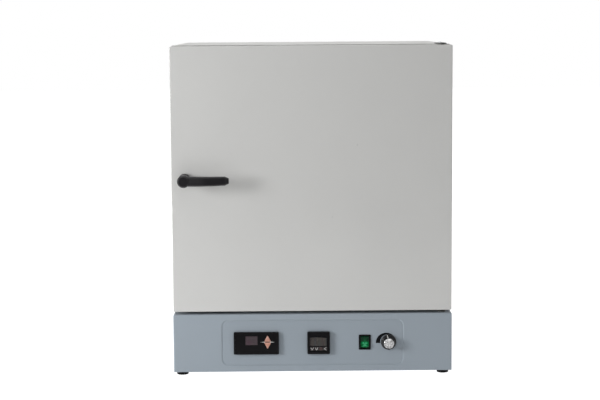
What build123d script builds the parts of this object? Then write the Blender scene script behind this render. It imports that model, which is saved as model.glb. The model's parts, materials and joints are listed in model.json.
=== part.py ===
from build123d import *
import os
from math import atan2, cos, degrees, radians, sin

# A bench drying oven. Millimetres. X runs to the right, Y to the back, Z up. The origin is on the
# surface that the feet stand on, in the middle of the oven's whole footprint.

# Overall sizes
BODY_WIDTH = 592.0
BODY_DEPTH = 570.0
DOOR_HEIGHT = 561.6
DOOR_THICKNESS = 50.0
PLINTH_OVERHANG = 0.75
PLINTH_HEIGHT = 124.0
FOOT_HEIGHT = 10.0

# Walls, sheets and gaps
CASING_SHEET = 1.0
LINER_SHEET = 0.8
FRAME_SHEET = 1.0
PLINTH_SHEET = 1.2
DOOR_SHEET = 1.0
SIDE_WALL = 70.0
TOP_WALL = 65.0
REAR_WALL = 50.0
MOTOR_SPACE = 61.0
SEAL_GAP = 8.0
UNDER_DOOR_GAP = 6.2
OVER_DOOR_GAP = 1.3
SHEET_CLEARANCE = 0.2
WOOL_CLEARANCE = 0.5
SOFT_CLEARANCE = 0.4
RUNNING_CLEARANCE = 0.05
KEY_CLEARANCE = 0.3
EDGE_RADIUS = 3.0
FLANGE = 15.0

# Chamber fittings
CHAMBER_CORNER = 14.0
GASKET_WIDTH = 14.0
GASKET_OFFSET = 6.0
BAFFLE_SPACE = 54.0
BAFFLE_SHEET = 1.0
BAFFLE_SIDE_GAP = 20.0
BAFFLE_LIP = 8.0
GRILLE_RINGS = 4
GRILLE_PITCH = 13.0
GRILLE_HOLE_RADIUS = 4.5
STANDOFF_RADIUS = 5.0
STANDOFF_INSET = (50.0, 28.0)
RACK_LEVELS = 4
RACK_PITCH = 85.0
RACK_ROD_RADIUS = 2.5
RACK_POST_RADIUS = 4.0
RACK_OFFSET = 15.0
RACK_BACK_GAP = 30.0
RACK_BEND = 5.0
SHELF_ROD_RADIUS = 3.0
SHELF_WIRE_RADIUS = 1.5
SHELF_WIRE_PITCH = 22.0
SHELF_CORNER = 14.0
WELD_DEPTH = 0.6
SHELF_TRAVEL = 35.0
SHELF_END_GAP = 5.0

# Fan, heater, probe and vent
FAN_RADIUS = 72.0
FAN_EYE_RADIUS = 46.0
FAN_WIDTH = 30.0
FAN_BLADES = 16
FAN_SHEET = 1.0
SHAFT_RADIUS = 4.0
SHAFT_PASSAGE = 4.0
MOTOR_RADIUS = 38.0
MOTOR_LENGTH = 46.0
MOTOR_FLANGE = 80.0
MOTOR_FLANGE_SHEET = 2.0
MOTOR_SCREW_CIRCLE = 46.0
HEATER_RING_RADIUS = 98.0
HEATER_TUBE_RADIUS = 4.2
HEATER_BEND = 12.0
HEATER_GAP_ANGLE = 15.0
HEATER_LEG = 20.0
PROBE_RADIUS = 2.5
PROBE_REACH = 22.0
PROBE_TAIL = 18.0
VENT_RADIUS = 20.0
VENT_WALL = 1.2
VENT_OUTREACH = 16.0
VENT_INSET = 75.0
VENT_LIP = 2.0
VENT_FLANGE = 8.0
VENT_FLANGE_SHEET = 1.5
VENT_PIN_RADIUS = 3.0
ROSETTE_SHEET = 1.5
ROSETTE_PORTS = 4
GRIP_HEIGHT = 8.0
COVER_SLOT = (64.0, 5.0)
COVER_SLOT_PITCH = 14.0
COVER_SLOT_ROWS = 8
COVER_SLOT_X = 48.0

# Door, hinges, latch and handle
HINGE_INSET = 20.0
HINGE_PIN_RADIUS = 4.0
HINGE_PIN_REACH = 14.0
BUSH_WALL = 3.0
BRACKET_SHEET = 2.5
BRACKET_WIDTH = 18.0
HANDLE_INSET = 28.2
HANDLE_RAISE = 1.5
HANDLE_LENGTH = 94.6
HANDLE_REACH = 47.0
BOSS_RADIUS = 13.0
BOSS_DROP = 3.0
SPINDLE_RADIUS = 5.0
SPINDLE_REACH = 24.0
SPINDLE_NUT = 3.0
SLEEVE_WALL = 2.5
ROSE_THICKNESS = 2.0
TONGUE_LENGTH = 34.0
TONGUE_WIDTH = 10.0
TONGUE_THICKNESS = 4.0
KEEPER_SHEET = 2.0
KEEPER_SIZE = (39.0, 76.0)
KEEPER_SCREW_SPREAD = 31.0
KEEPER_SLOT_WIDTH = 23.0
KEEPER_SLOT_HEIGHT = 44.0
INNER_FIELD_RISE = 5.0

# Control panel on the plinth: places are across from the middle and up from the plinth's mid height
FIELD_WIDTH = 383.0
FIELD_HEIGHT = 95.5
FIELD_CORNER = 13.0
FIELD_DEPTH = 1.2
FIELD_SLOPE = 3.0
CUTOUT_CLEARANCE = 0.2
OVERLAY_SHEET = 0.4
CONTROLLER_X = -120.2
CONTROLLER_SIZE = (96.0, 48.0)
CONTROLLER_CASE = (91.0, 44.4)
CONTROLLER_PROUD = 7.0
CONTROLLER_BEHIND = 78.0
WINDOW_SIZE = (25.4, 18.8)
WINDOW_X = -10.1
WINDOW_Z = 6.1
TRIANGLE_X = 24.0
TRIANGLE_Z = 2.8
TRIANGLE_WIDTH = 14.6
TRIANGLE_HEIGHT = 13.6
TRIANGLE_GAP = 1.8
TIMER_X = 12.5
TIMER_SIZE = 48.0
TIMER_CASE = 44.6
TIMER_PROUD = 8.0
TIMER_BEHIND = 66.0
TIMER_FIELD = (40.0, 33.0)
TIMER_FIELD_Z = -1.5
TIMER_FIELD_SINK = 2.5
TIMER_KEYS = 4
TIMER_KEY_SIZE = (8.2, 8.0)
TIMER_KEY_PITCH = 9.3
SWITCH_X = 110.9
SWITCH_SIZE = (25.4, 32.4)
SWITCH_BODY = (22.0, 30.0)
SWITCH_PROUD = 2.2
ROCKER_WIDTH = 17.6
ROCKER_RADIUS = 13.6
ROCKER_DEPTH = 5.2
ROCKER_TILT = 12.0
TRUNNION_RADIUS = 1.5
TRUNNION_REACH = 1.2
KNOB_X = 161.7
KNOB_RADIUS = 16.4
KNOB_CAP_RADIUS = 11.2
KNOB_HEIGHT = 19.0
KNOB_CAP_SHEET = 1.8
KNOB_GRIP_FOOT = 5.0
KNOB_FLUTES = 24
KNOB_FLUTE_RADIUS = 1.0
POT_SHAFT_RADIUS = 3.0
POT_SHAFT_REACH = 15.0
POT_BUSH_RADIUS = 4.7
POT_BUSH_REACH = 4.0
POT_NUT_HEIGHT = 2.2
KEY_TRAVEL = 0.8
KEYWAY_DEPTH = 4.6

# Fittings at the plinth's back, and what it holds
INLET_X = -215.0
INLET_FLANGE = 2.0
INLET_CAVITY = 21.0
INLET_SCREW_BORE = 2.0
INLET_SCREW_SPREAD = 20.0
INLET_PIN = (2.0, 4.0)
INLET_PIN_LENGTH = 15.5
FUSE_X = -165.0
FUSE_RADIUS = 6.5
BACK_SLOTS = 12
BACK_SLOT = (50.0, 5.0)
BACK_SLOT_PITCH = 14.0
BACK_SLOT_X = 40.0
FLOOR_LIP = 12.0
FLOOR_SLOTS = 6
FLOOR_SLOT = (90.0, 6.0)
FLOOR_SLOT_PITCH = 16.0
FLOOR_SLOT_X = 180.0
RELAY_X = 120.0
TERMINALS_X = -40.0
TERMINAL_WAYS = 8
TERMINAL_PITCH = 11.0

# Feet and fasteners
FOOT_RADIUS = 13.0
FOOT_INSET = 17.0
FOOT_SETBACK = 30.0
FOOT_SCREW_RADIUS = 2.5
FOOT_SCREW_SEAT = 4.0
FOOT_RECESS_RADIUS = 6.0
SCREW_RADIUS = 2.0
SCREW_HEAD_RADIUS = 4.0
SCREW_HEAD_HEIGHT = 2.4
SCREW_LENGTH = 9.0

# Places worked out from the sizes above: depths behind the door's face, heights above the floor
CASING_FRONT = DOOR_THICKNESS + SEAL_GAP
REAR_PANEL = BODY_DEPTH - MOTOR_SPACE
CHAMBER_BACK = REAR_PANEL - REAR_WALL - LINER_SHEET
CHAMBER_FRONT = CASING_FRONT + FRAME_SHEET
BAFFLE_FRONT = CHAMBER_BACK - BAFFLE_SPACE - BAFFLE_SHEET
VENT_END = BODY_DEPTH + VENT_OUTREACH
VENT_CAP_RADIUS = VENT_RADIUS + SHEET_CLEARANCE + VENT_WALL
ROSETTE_BACK = VENT_END + KEY_CLEARANCE + ROSETTE_SHEET
FOOTPRINT_DEPTH = HANDLE_REACH + ROSETTE_BACK + GRIP_HEIGHT
DOOR_FACE_Y = HANDLE_REACH - FOOTPRINT_DEPTH / 2

PLINTH_TOP = FOOT_HEIGHT + PLINTH_HEIGHT
DOOR_BOTTOM = PLINTH_TOP + UNDER_DOOR_GAP
DOOR_TOP = DOOR_BOTTOM + DOOR_HEIGHT
DOOR_MIDDLE = (DOOR_BOTTOM + DOOR_TOP) / 2
LATCH_Z = DOOR_MIDDLE + HANDLE_RAISE
CASING_TOP = DOOR_TOP + OVER_DOOR_GAP
PANEL_Z = FOOT_HEIGHT + PLINTH_HEIGHT / 2
PLINTH_WIDTH = BODY_WIDTH + 2 * PLINTH_OVERHANG
ELECTRICS_FLOOR = FOOT_HEIGHT + PLINTH_SHEET

CHAMBER_WIDTH = BODY_WIDTH - 2 * SIDE_WALL
CHAMBER_HEIGHT = CASING_TOP - PLINTH_TOP - 2 * TOP_WALL
CHAMBER_MIDDLE = (CASING_TOP + PLINTH_TOP) / 2
CHAMBER_BOTTOM = CHAMBER_MIDDLE - CHAMBER_HEIGHT / 2
CHAMBER_TOP = CHAMBER_MIDDLE + CHAMBER_HEIGHT / 2

HINGE_X = BODY_WIDTH / 2 - HINGE_INSET
HINGE_DEPTH = HINGE_INSET
HANDLE_X = HANDLE_INSET - BODY_WIDTH / 2
OVERLAY_FRONT = FIELD_DEPTH - OVERLAY_SHEET
VENT_X = VENT_INSET - CHAMBER_WIDTH / 2
VENT_Z = CHAMBER_TOP - VENT_INSET
PROBE_X = CHAMBER_WIDTH / 2 - VENT_INSET
FAN_FRONT = BAFFLE_FRONT + BAFFLE_SHEET + (BAFFLE_SPACE - FAN_WIDTH) / 2
SLEEVE_RADIUS = SPINDLE_RADIUS + RUNNING_CLEARANCE + SLEEVE_WALL
BUSH_RADIUS = HINGE_PIN_RADIUS + RUNNING_CLEARANCE + BUSH_WALL
TONGUE_FRONT = CASING_FRONT + FRAME_SHEET + 3.0
SPINDLE_BACK = TONGUE_FRONT + TONGUE_THICKNESS + SPINDLE_NUT
SCREW_BORE = SCREW_RADIUS + RUNNING_CLEARANCE


def at(depth):
    """The Y coordinate of a depth behind the door's front face."""
    return DOOR_FACE_Y + depth


def prism_y(sketch, front, back):
    """A front-view outline, drawn in X and Z, extruded between two depths."""
    return extrude(Plane.XZ.offset(-at(back)) * sketch, amount=back - front)


def prism_z(sketch, bottom, top):
    """A plan outline, drawn in X and Y, extruded between two heights."""
    return extrude(Pos(0, 0, bottom) * sketch, amount=top - bottom)


def prism_x(sketch, left, right):
    """A side outline, drawn in Y and Z, extruded between two places across."""
    return extrude(Plane.YZ.offset(left) * sketch, amount=right - left)


def rounded(width, height, radius, x=0.0, z=0.0):
    return Pos(x, z) * RectangleRounded(width, height, radius)


def disc(radius, x=0.0, z=0.0):
    return Pos(x, z) * Circle(radius)


def turned(*points):
    """A solid turned about the Z axis from its half profile of (radius, height) points."""
    return revolve(Plane.XZ * make_face(Polyline(*points, close=True)), axis=Axis.Z)


def face_front(piece, x, depth, z):
    """Puts a piece made along +Z at a depth, pointing out of the oven's front."""
    return Pos(x, at(depth), z) * Rot(90, 0, 0) * piece


def face_back(piece, x, depth, z):
    """Puts a piece made along +Z at a depth, pointing out of the oven's back."""
    return Pos(x, at(depth), z) * Rot(-90, 0, 0) * piece


def screw(length=SCREW_LENGTH):
    """A pan-head screw standing on its seat at z = 0, with its shank below."""
    edge = 0.8
    head = SCREW_HEAD_RADIUS
    return turned(
        (0, -length),
        (SCREW_RADIUS, -length),
        (SCREW_RADIUS, 0),
        (head, 0),
        (head, SCREW_HEAD_HEIGHT - edge),
        (head - edge, SCREW_HEAD_HEIGHT),
        (0, SCREW_HEAD_HEIGHT),
    )


def spaced(count):
    """Whole or half steps either side of nought, for a row of equal things about its middle."""
    return [step - (count - 1) / 2 for step in range(count)]


def together(pieces):
    """Separate solids kept as one group."""
    return Compound(children=[solid for piece in pieces for solid in piece.solids()])


# Where the screws sit
COVER_SCREWS = [
    (side * (BODY_WIDTH / 2 - FLANGE / 2), height)
    for side in (-1, 1)
    for height in (PLINTH_TOP + FLANGE, CHAMBER_MIDDLE, CASING_TOP - FLANGE / 2 - CASING_SHEET)
] + [(0, CASING_TOP - FLANGE / 2 - CASING_SHEET)]
KEEPER_SCREWS = [LATCH_Z - KEEPER_SCREW_SPREAD, LATCH_Z + KEEPER_SCREW_SPREAD]
MOTOR_SCREWS = [
    (MOTOR_SCREW_CIRCLE * cos(radians(turn)), MOTOR_SCREW_CIRCLE * sin(radians(turn)))
    for turn in (45, 135, 225, 315)
]
UPPER_BRACKET_SCREWS = [CASING_FRONT + 12, CASING_FRONT + 28]
LOWER_BRACKET_SCREWS = [HINGE_DEPTH + 15, HINGE_DEPTH + 28]


def arch(width, top, radius):
    """A rectangle from the plinth's top up, with its two upper corners rounded."""
    height = top - PLINTH_TOP
    block = Pos(0, PLINTH_TOP + height / 2) * Rectangle(width, height)
    return fillet(block.vertices().group_by(Axis.Y)[-1], radius)


def outer_casing():
    """Both sides and the top, folded from one sheet, with a flange round the back."""
    sheet = CASING_SHEET
    inner = arch(BODY_WIDTH - 2 * sheet, CASING_TOP - sheet, EDGE_RADIUS - sheet)
    casing = prism_y(
        arch(BODY_WIDTH, CASING_TOP, EDGE_RADIUS) - inner, CASING_FRONT, BODY_DEPTH - sheet
    )
    window = Pos(0, (PLINTH_TOP + CASING_TOP - FLANGE) / 2) * Rectangle(
        BODY_WIDTH - 2 * FLANGE, CASING_TOP - FLANGE - PLINTH_TOP
    )
    casing += prism_y(inner - window, BODY_DEPTH - 2 * sheet, BODY_DEPTH - sheet)
    for x, z in COVER_SCREWS:
        casing -= prism_y(disc(SCREW_BORE, x, z), BODY_DEPTH - 3 * sheet, BODY_DEPTH)
    for depth in UPPER_BRACKET_SCREWS:
        casing -= Pos(HINGE_X, at(depth), CASING_TOP) * Cylinder(SCREW_BORE, 4 * sheet)
    return casing


def casing_floor():
    """The sheet that the insulation stands on, with its two long edges turned up."""
    width = BODY_WIDTH - 2 * CASING_SHEET - 2 * SHEET_CLEARANCE
    length = BODY_DEPTH - 2 * CASING_SHEET - SHEET_CLEARANCE - CHAMBER_FRONT
    centre = (0, at(CHAMBER_FRONT + length / 2))
    outer = Pos(*centre) * Rectangle(width, length)
    inner = Pos(*centre) * Rectangle(width - 2 * CASING_SHEET, length)
    return prism_z(outer, PLINTH_TOP, PLINTH_TOP + FLANGE) - prism_z(
        inner, PLINTH_TOP + CASING_SHEET, PLINTH_TOP + FLANGE
    )


def front_frame():
    """The stainless face round the chamber's mouth, pierced for the latch."""
    width = BODY_WIDTH - 2 * CASING_SHEET - 2 * SHEET_CLEARANCE
    bottom = PLINTH_TOP + SHEET_CLEARANCE
    top = CASING_TOP - CASING_SHEET - SHEET_CLEARANCE
    middle = (bottom + top) / 2
    frame = prism_y(
        rounded(width, top - bottom, 1.6, 0, middle), CASING_FRONT, CASING_FRONT + FRAME_SHEET
    )
    frame -= prism_y(
        rounded(CHAMBER_WIDTH, CHAMBER_HEIGHT, CHAMBER_CORNER, 0, CHAMBER_MIDDLE),
        CASING_FRONT,
        CASING_FRONT + FRAME_SHEET,
    )
    slot = rounded(KEEPER_SLOT_WIDTH + 6, KEEPER_SLOT_HEIGHT + 6, 3, HANDLE_X, LATCH_Z)
    frame -= prism_y(slot, CASING_FRONT, CASING_FRONT + FRAME_SHEET)
    for z in KEEPER_SCREWS:
        hole = disc(SCREW_BORE, HANDLE_X, z)
        frame -= prism_y(hole, CASING_FRONT, CASING_FRONT + FRAME_SHEET)
    return frame


def inner_rear_panel():
    """The sheet behind the insulation that carries the fan motor."""
    width = BODY_WIDTH - 2 * CASING_SHEET - 2 * SHEET_CLEARANCE
    bottom = PLINTH_TOP + FLANGE + SHEET_CLEARANCE
    top = CASING_TOP - CASING_SHEET - SHEET_CLEARANCE
    middle = (bottom + top) / 2
    panel = prism_y(
        rounded(width, top - bottom, 1.6, 0, middle), REAR_PANEL, REAR_PANEL + CASING_SHEET
    )
    holes = [disc(SHAFT_RADIUS + SHAFT_PASSAGE, 0, CHAMBER_MIDDLE)]
    holes += [disc(VENT_RADIUS + SHEET_CLEARANCE, VENT_X, VENT_Z)]
    holes += [disc(PROBE_RADIUS + SHEET_CLEARANCE, PROBE_X, VENT_Z)]
    holes += [disc(SCREW_BORE, x, CHAMBER_MIDDLE + z) for x, z in MOTOR_SCREWS]
    holes += [disc(HEATER_TUBE_RADIUS + SHEET_CLEARANCE, x, z) for x, z in heater_ends()]
    return panel - [prism_y(hole, REAR_PANEL, REAR_PANEL + CASING_SHEET) for hole in holes]


def rear_cover():
    """The removable back sheet, with two columns of cooling slots and the vent's hole."""
    front = BODY_DEPTH - CASING_SHEET
    middle = (PLINTH_TOP + CASING_TOP) / 2
    cover = prism_y(
        rounded(BODY_WIDTH - 1, CASING_TOP - PLINTH_TOP - 1, EDGE_RADIUS, 0, middle), front, BODY_DEPTH
    )
    slots = [
        Pos(side * COVER_SLOT_X, CHAMBER_MIDDLE + row * COVER_SLOT_PITCH) * SlotOverall(*COVER_SLOT)
        for side in (-1, 1)
        for row in spaced(COVER_SLOT_ROWS)
    ]
    holes = slots + [disc(VENT_RADIUS + SHEET_CLEARANCE, VENT_X, VENT_Z)]
    holes += [disc(SCREW_BORE, x, z) for x, z in COVER_SCREWS]
    return cover - [prism_y(hole, front, BODY_DEPTH) for hole in holes]


def panel_screws():
    """All the equal pan-head screws: rear cover, keeper, motor and hinge brackets."""
    pieces = [face_back(screw(), x, BODY_DEPTH, z) for x, z in COVER_SCREWS]
    keeper_front = CASING_FRONT - KEEPER_SHEET
    pieces += [face_front(screw(), HANDLE_X, keeper_front, z) for z in KEEPER_SCREWS]
    motor_flange = REAR_PANEL + CASING_SHEET + MOTOR_FLANGE_SHEET
    pieces += [face_back(screw(), x, motor_flange, CHAMBER_MIDDLE + z) for x, z in MOTOR_SCREWS]
    bracket = CASING_TOP + BRACKET_SHEET
    pieces += [Pos(HINGE_X, at(depth), bracket) * screw() for depth in UPPER_BRACKET_SCREWS]
    bracket = PLINTH_TOP + BRACKET_SHEET
    pieces += [Pos(HINGE_X, at(depth), bracket) * screw() for depth in LOWER_BRACKET_SCREWS]
    return together(pieces)


def heater_ends():
    """Where the heater's two legs pass the back wall, in X and Z."""
    gap = radians(HEATER_GAP_ANGLE)
    half = HEATER_RING_RADIUS * sin(gap) - HEATER_BEND * cos(gap)
    height = HEATER_RING_RADIUS * cos(gap) + HEATER_BEND * sin(gap)
    return [(-half, CHAMBER_MIDDLE - height), (half, CHAMBER_MIDDLE - height)]


def chamber_liner():
    """The stainless chamber: a drawn box with rounded corners and a flange at its mouth."""
    outline = rounded(CHAMBER_WIDTH, CHAMBER_HEIGHT, CHAMBER_CORNER, 0, CHAMBER_MIDDLE)
    sheet = LINER_SHEET
    skin = rounded(
        CHAMBER_WIDTH + 2 * sheet,
        CHAMBER_HEIGHT + 2 * sheet,
        CHAMBER_CORNER + sheet,
        0,
        CHAMBER_MIDDLE,
    )
    rim = rounded(
        CHAMBER_WIDTH + 2 * FLANGE,
        CHAMBER_HEIGHT + 2 * FLANGE,
        CHAMBER_CORNER + FLANGE,
        0,
        CHAMBER_MIDDLE,
    )
    liner = prism_y(skin, CHAMBER_FRONT, CHAMBER_BACK + sheet)
    liner += prism_y(rim, CHAMBER_FRONT, CHAMBER_FRONT + sheet)
    liner -= prism_y(outline, CHAMBER_FRONT, CHAMBER_BACK)
    holes = [disc(SHAFT_RADIUS + SHAFT_PASSAGE, 0, CHAMBER_MIDDLE)]
    holes += [disc(VENT_RADIUS + SHEET_CLEARANCE, VENT_X, VENT_Z)]
    holes += [disc(PROBE_RADIUS + SHEET_CLEARANCE, PROBE_X, VENT_Z)]
    holes += [disc(HEATER_TUBE_RADIUS + SHEET_CLEARANCE, x, z) for x, z in heater_ends()]
    return liner - [prism_y(hole, CHAMBER_BACK, CHAMBER_BACK + sheet) for hole in holes]


def chamber_insulation():
    """Mineral wool round the chamber's sides and back, with its channels."""
    gap = WOOL_CLEARANCE
    bottom = PLINTH_TOP + CASING_SHEET + gap
    top = CASING_TOP - CASING_SHEET - gap
    outer = rounded(
        BODY_WIDTH - 4 * CASING_SHEET - 4 * gap, top - bottom, 3, 0, (bottom + top) / 2
    )
    inner = rounded(
        CHAMBER_WIDTH + 2 * LINER_SHEET + 2 * gap,
        CHAMBER_HEIGHT + 2 * LINER_SHEET + 2 * gap,
        CHAMBER_CORNER + LINER_SHEET + gap,
        0,
        CHAMBER_MIDDLE,
    )
    front = CHAMBER_FRONT + LINER_SHEET + gap
    back = REAR_PANEL - gap
    wool = prism_y(outer, front, back) - prism_y(inner, front, CHAMBER_BACK + LINER_SHEET + gap)
    latch = Pos(HANDLE_X - 1, LATCH_Z) * Rectangle(TONGUE_LENGTH + 8, 2 * TONGUE_LENGTH + 8)
    wool -= prism_y(latch, front, front + 26)
    for depth in UPPER_BRACKET_SCREWS:
        wool -= Pos(HINGE_X, at(depth), top) * Cylinder(SCREW_RADIUS + 2, 2 * SCREW_LENGTH)
    holes = [disc(SHAFT_RADIUS + SHAFT_PASSAGE + 2, 0, CHAMBER_MIDDLE)]
    holes += [disc(VENT_RADIUS + gap, VENT_X, VENT_Z)]
    holes += [disc(PROBE_RADIUS + gap, PROBE_X, VENT_Z)]
    holes += [disc(HEATER_TUBE_RADIUS + gap, x, z) for x, z in heater_ends()]
    holes += [disc(SCREW_RADIUS + 2, x, CHAMBER_MIDDLE + z) for x, z in MOTOR_SCREWS]
    return wool - [prism_y(hole, CHAMBER_BACK, back) for hole in holes]


def chamber_gasket():
    """The silicone seal round the mouth, with rounded lips towards the door."""
    inner_width = CHAMBER_WIDTH + 2 * GASKET_OFFSET
    inner_height = CHAMBER_HEIGHT + 2 * GASKET_OFFSET
    outer = rounded(
        inner_width + 2 * GASKET_WIDTH,
        inner_height + 2 * GASKET_WIDTH,
        CHAMBER_CORNER + GASKET_OFFSET + GASKET_WIDTH,
        0,
        CHAMBER_MIDDLE,
    )
    inner = rounded(
        inner_width, inner_height, CHAMBER_CORNER + GASKET_OFFSET, 0, CHAMBER_MIDDLE
    )
    seal = prism_y(outer - inner, DOOR_THICKNESS + SOFT_CLEARANCE, CASING_FRONT)
    return fillet(seal.faces().sort_by(Axis.Y)[0].edges(), 3)


def shelf_rack(side):
    """One side rack: two posts against the wall, joined by a bent rod at each level."""
    post_x = side * (CHAMBER_WIDTH / 2 - RACK_POST_RADIUS - SHEET_CLEARANCE)
    rod_x = side * (CHAMBER_WIDTH / 2 - RACK_OFFSET)
    ends = (at(CASING_FRONT + 8), at(BAFFLE_FRONT - RACK_BACK_GAP))
    post_z = (CHAMBER_BOTTOM + CHAMBER_CORNER, CHAMBER_TOP - CHAMBER_CORNER)
    rack = [prism_z(Pos(post_x, y) * Circle(RACK_POST_RADIUS), *post_z) for y in ends]
    for level in range(RACK_LEVELS):
        z = rack_height(level)
        corners = [(x, y, z) for y in ends for x in (post_x, rod_x)]
        route = FilletPolyline(*corners[:2], *reversed(corners[2:]), radius=RACK_BEND)
        section = Plane(origin=(post_x, ends[0], z), z_dir=(-side, 0, 0)) * Circle(RACK_ROD_RADIUS)
        rack.append(sweep(section, path=route))
    return rack[0] + rack[1:]


def rack_height(level):
    return CHAMBER_BOTTOM + RACK_PITCH * (level + 1) - RACK_PITCH / 3


def wire_shelf(level):
    """A rod frame with two cross bars, and wires welded on top from front to back."""
    z = rack_height(level) + RACK_ROD_RADIUS + KEY_CLEARANCE + SHELF_ROD_RADIUS
    wire_z = z + SHELF_ROD_RADIUS + SHELF_WIRE_RADIUS - WELD_DEPTH
    width = CHAMBER_WIDTH - 2 * RACK_OFFSET
    back = BAFFLE_FRONT - SHELF_END_GAP - SHELF_ROD_RADIUS
    front = CASING_FRONT + SHELF_END_GAP + SHELF_TRAVEL + SHELF_ROD_RADIUS
    centre = at((front + back) / 2)
    border = Pos(0, centre, z) * RectangleRounded(width, back - front, SHELF_CORNER)
    start = Plane(origin=(0, at(front), z), z_dir=(1, 0, 0))
    shelf = sweep(start * Circle(SHELF_ROD_RADIUS), path=border.wire())
    wires = int((width / 2 - SHELF_WIRE_PITCH / 2) // SHELF_WIRE_PITCH)
    wire = Circle(SHELF_WIRE_RADIUS)
    bars = [
        prism_y(Pos(step * SHELF_WIRE_PITCH, wire_z) * wire, front - 2, back + 2)
        for step in range(-wires, wires + 1)
    ]
    for depth in (front + (back - front) / 3, back - (back - front) / 3):
        bars.append(prism_x(Pos(at(depth), z) * Circle(SHELF_ROD_RADIUS - 0.5), -width / 2, width / 2))
    return shelf + bars


def rear_baffle():
    """The air guide in front of the fan: a round grille to draw in, open at both sides to blow out."""
    width = CHAMBER_WIDTH - 2 * BAFFLE_SIDE_GAP
    height = CHAMBER_HEIGHT - 2
    back = BAFFLE_FRONT + BAFFLE_SHEET
    plate = prism_y(rounded(width, height, 2, 0, CHAMBER_MIDDLE), BAFFLE_FRONT, back)
    for side in (-1, 1):
        edge = Pos(side * (width - BAFFLE_SHEET) / 2, CHAMBER_MIDDLE)
        lip = edge * Rectangle(BAFFLE_SHEET, height - 2 * CHAMBER_CORNER)
        plate += prism_y(lip, BAFFLE_FRONT, BAFFLE_FRONT + BAFFLE_LIP)
    holes = [disc(GRILLE_HOLE_RADIUS, 0, CHAMBER_MIDDLE)]
    for ring in range(1, GRILLE_RINGS + 1):
        radius = GRILLE_PITCH * ring
        for step in range(6 * ring):
            turn = radians(60 / ring * step)
            holes.append(disc(GRILLE_HOLE_RADIUS, radius * cos(turn), CHAMBER_MIDDLE + radius * sin(turn)))
    holes.append(disc(PROBE_RADIUS + SHEET_CLEARANCE, PROBE_X, VENT_Z))
    holes += [disc(SCREW_BORE, x, z) for x, z in standoff_places()]
    return plate - [prism_y(hole, BAFFLE_FRONT, back) for hole in holes]


def standoff_places():
    inset, drop = STANDOFF_INSET
    return [
        (side * (CHAMBER_WIDTH / 2 - inset), CHAMBER_MIDDLE + end * (CHAMBER_HEIGHT / 2 - drop))
        for side in (-1, 1)
        for end in (-1, 1)
    ]


def baffle_standoffs():
    """Four pillars with a screw head in front, which hold the baffle off the back wall."""
    sheet_front = BAFFLE_SPACE + BAFFLE_SHEET
    pillar = turned(
        (0, 0),
        (STANDOFF_RADIUS, 0),
        (STANDOFF_RADIUS, BAFFLE_SPACE),
        (SCREW_RADIUS, BAFFLE_SPACE),
        (SCREW_RADIUS, sheet_front),
        (SCREW_HEAD_RADIUS, sheet_front),
        (SCREW_HEAD_RADIUS, sheet_front + SCREW_HEAD_HEIGHT),
        (0, sheet_front + SCREW_HEAD_HEIGHT),
    )
    return together([face_front(pillar, x, CHAMBER_BACK, z) for x, z in standoff_places()])


def heater_element():
    """A tubular heater bent to a ring round the fan, with both legs out through the back."""
    depth = FAN_FRONT + FAN_WIDTH / 2
    gap = radians(HEATER_GAP_ANGLE)
    leg = HEATER_RING_RADIUS * sin(gap)
    ring_start = Vector(-leg, at(depth), CHAMBER_MIDDLE - HEATER_RING_RADIUS * cos(gap))
    ring_end = Vector(-ring_start.X, ring_start.Y, ring_start.Z)
    top = Vector(0, at(depth), CHAMBER_MIDDLE + HEATER_RING_RADIUS)
    (left_x, leg_z), (right_x, _) = heater_ends()
    left_bend = Vector(left_x, at(depth) + HEATER_BEND, leg_z)
    right_bend = Vector(right_x, at(depth) + HEATER_BEND, leg_z)
    leg_end = at(REAR_PANEL + HEATER_LEG)
    route = Wire(
        [
            Edge.make_line((left_x, leg_end, leg_z), left_bend),
            Edge.make_tangent_arc(left_bend, (0, -1, 0), ring_start),
            Edge.make_three_point_arc(ring_start, top, ring_end),
            Edge.make_tangent_arc(right_bend, (0, -1, 0), ring_end),
            Edge.make_line(right_bend, (right_x, leg_end, leg_z)),
        ]
    )
    section = Plane(origin=(left_x, leg_end, leg_z), z_dir=(0, -1, 0)) * Circle(HEATER_TUBE_RADIUS)
    return sweep(section, path=route)


def temperature_probe():
    """A closed stainless tube that reaches past the baffle into the chamber."""
    back = REAR_PANEL + PROBE_TAIL
    length = back - BAFFLE_FRONT + PROBE_REACH
    tip = PROBE_RADIUS * 0.6
    probe = turned(
        (0, 0), (PROBE_RADIUS, 0), (PROBE_RADIUS, length - tip), (PROBE_RADIUS - tip, length), (0, length)
    )
    collar = turned((0, 0), (7, 0), (7, 3), (0, 3))
    return face_front(probe, PROBE_X, back, VENT_Z) + face_back(
        collar, PROBE_X, REAR_PANEL + CASING_SHEET, VENT_Z
    )


def fan_motor():
    """The motor on the inner rear panel: a flange, a round can and a boss for the shaft."""
    front = REAR_PANEL + CASING_SHEET
    bore = SHAFT_RADIUS + RUNNING_CLEARANCE
    can = turned(
        (bore, 0),
        (MOTOR_RADIUS - 4, 0),
        (MOTOR_RADIUS - 4, MOTOR_FLANGE_SHEET + 4),
        (MOTOR_RADIUS, MOTOR_FLANGE_SHEET + 7),
        (MOTOR_RADIUS, MOTOR_LENGTH - 8),
        (MOTOR_RADIUS - 8, MOTOR_LENGTH),
        (bore, MOTOR_LENGTH),
    )
    flange = rounded(MOTOR_FLANGE, MOTOR_FLANGE, 8, 0, CHAMBER_MIDDLE) - disc(bore, 0, CHAMBER_MIDDLE)
    for x, z in MOTOR_SCREWS:
        flange -= disc(SCREW_BORE, x, CHAMBER_MIDDLE + z)
    return face_back(can, 0, front, CHAMBER_MIDDLE) + prism_y(flange, front, front + MOTOR_FLANGE_SHEET)


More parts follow.
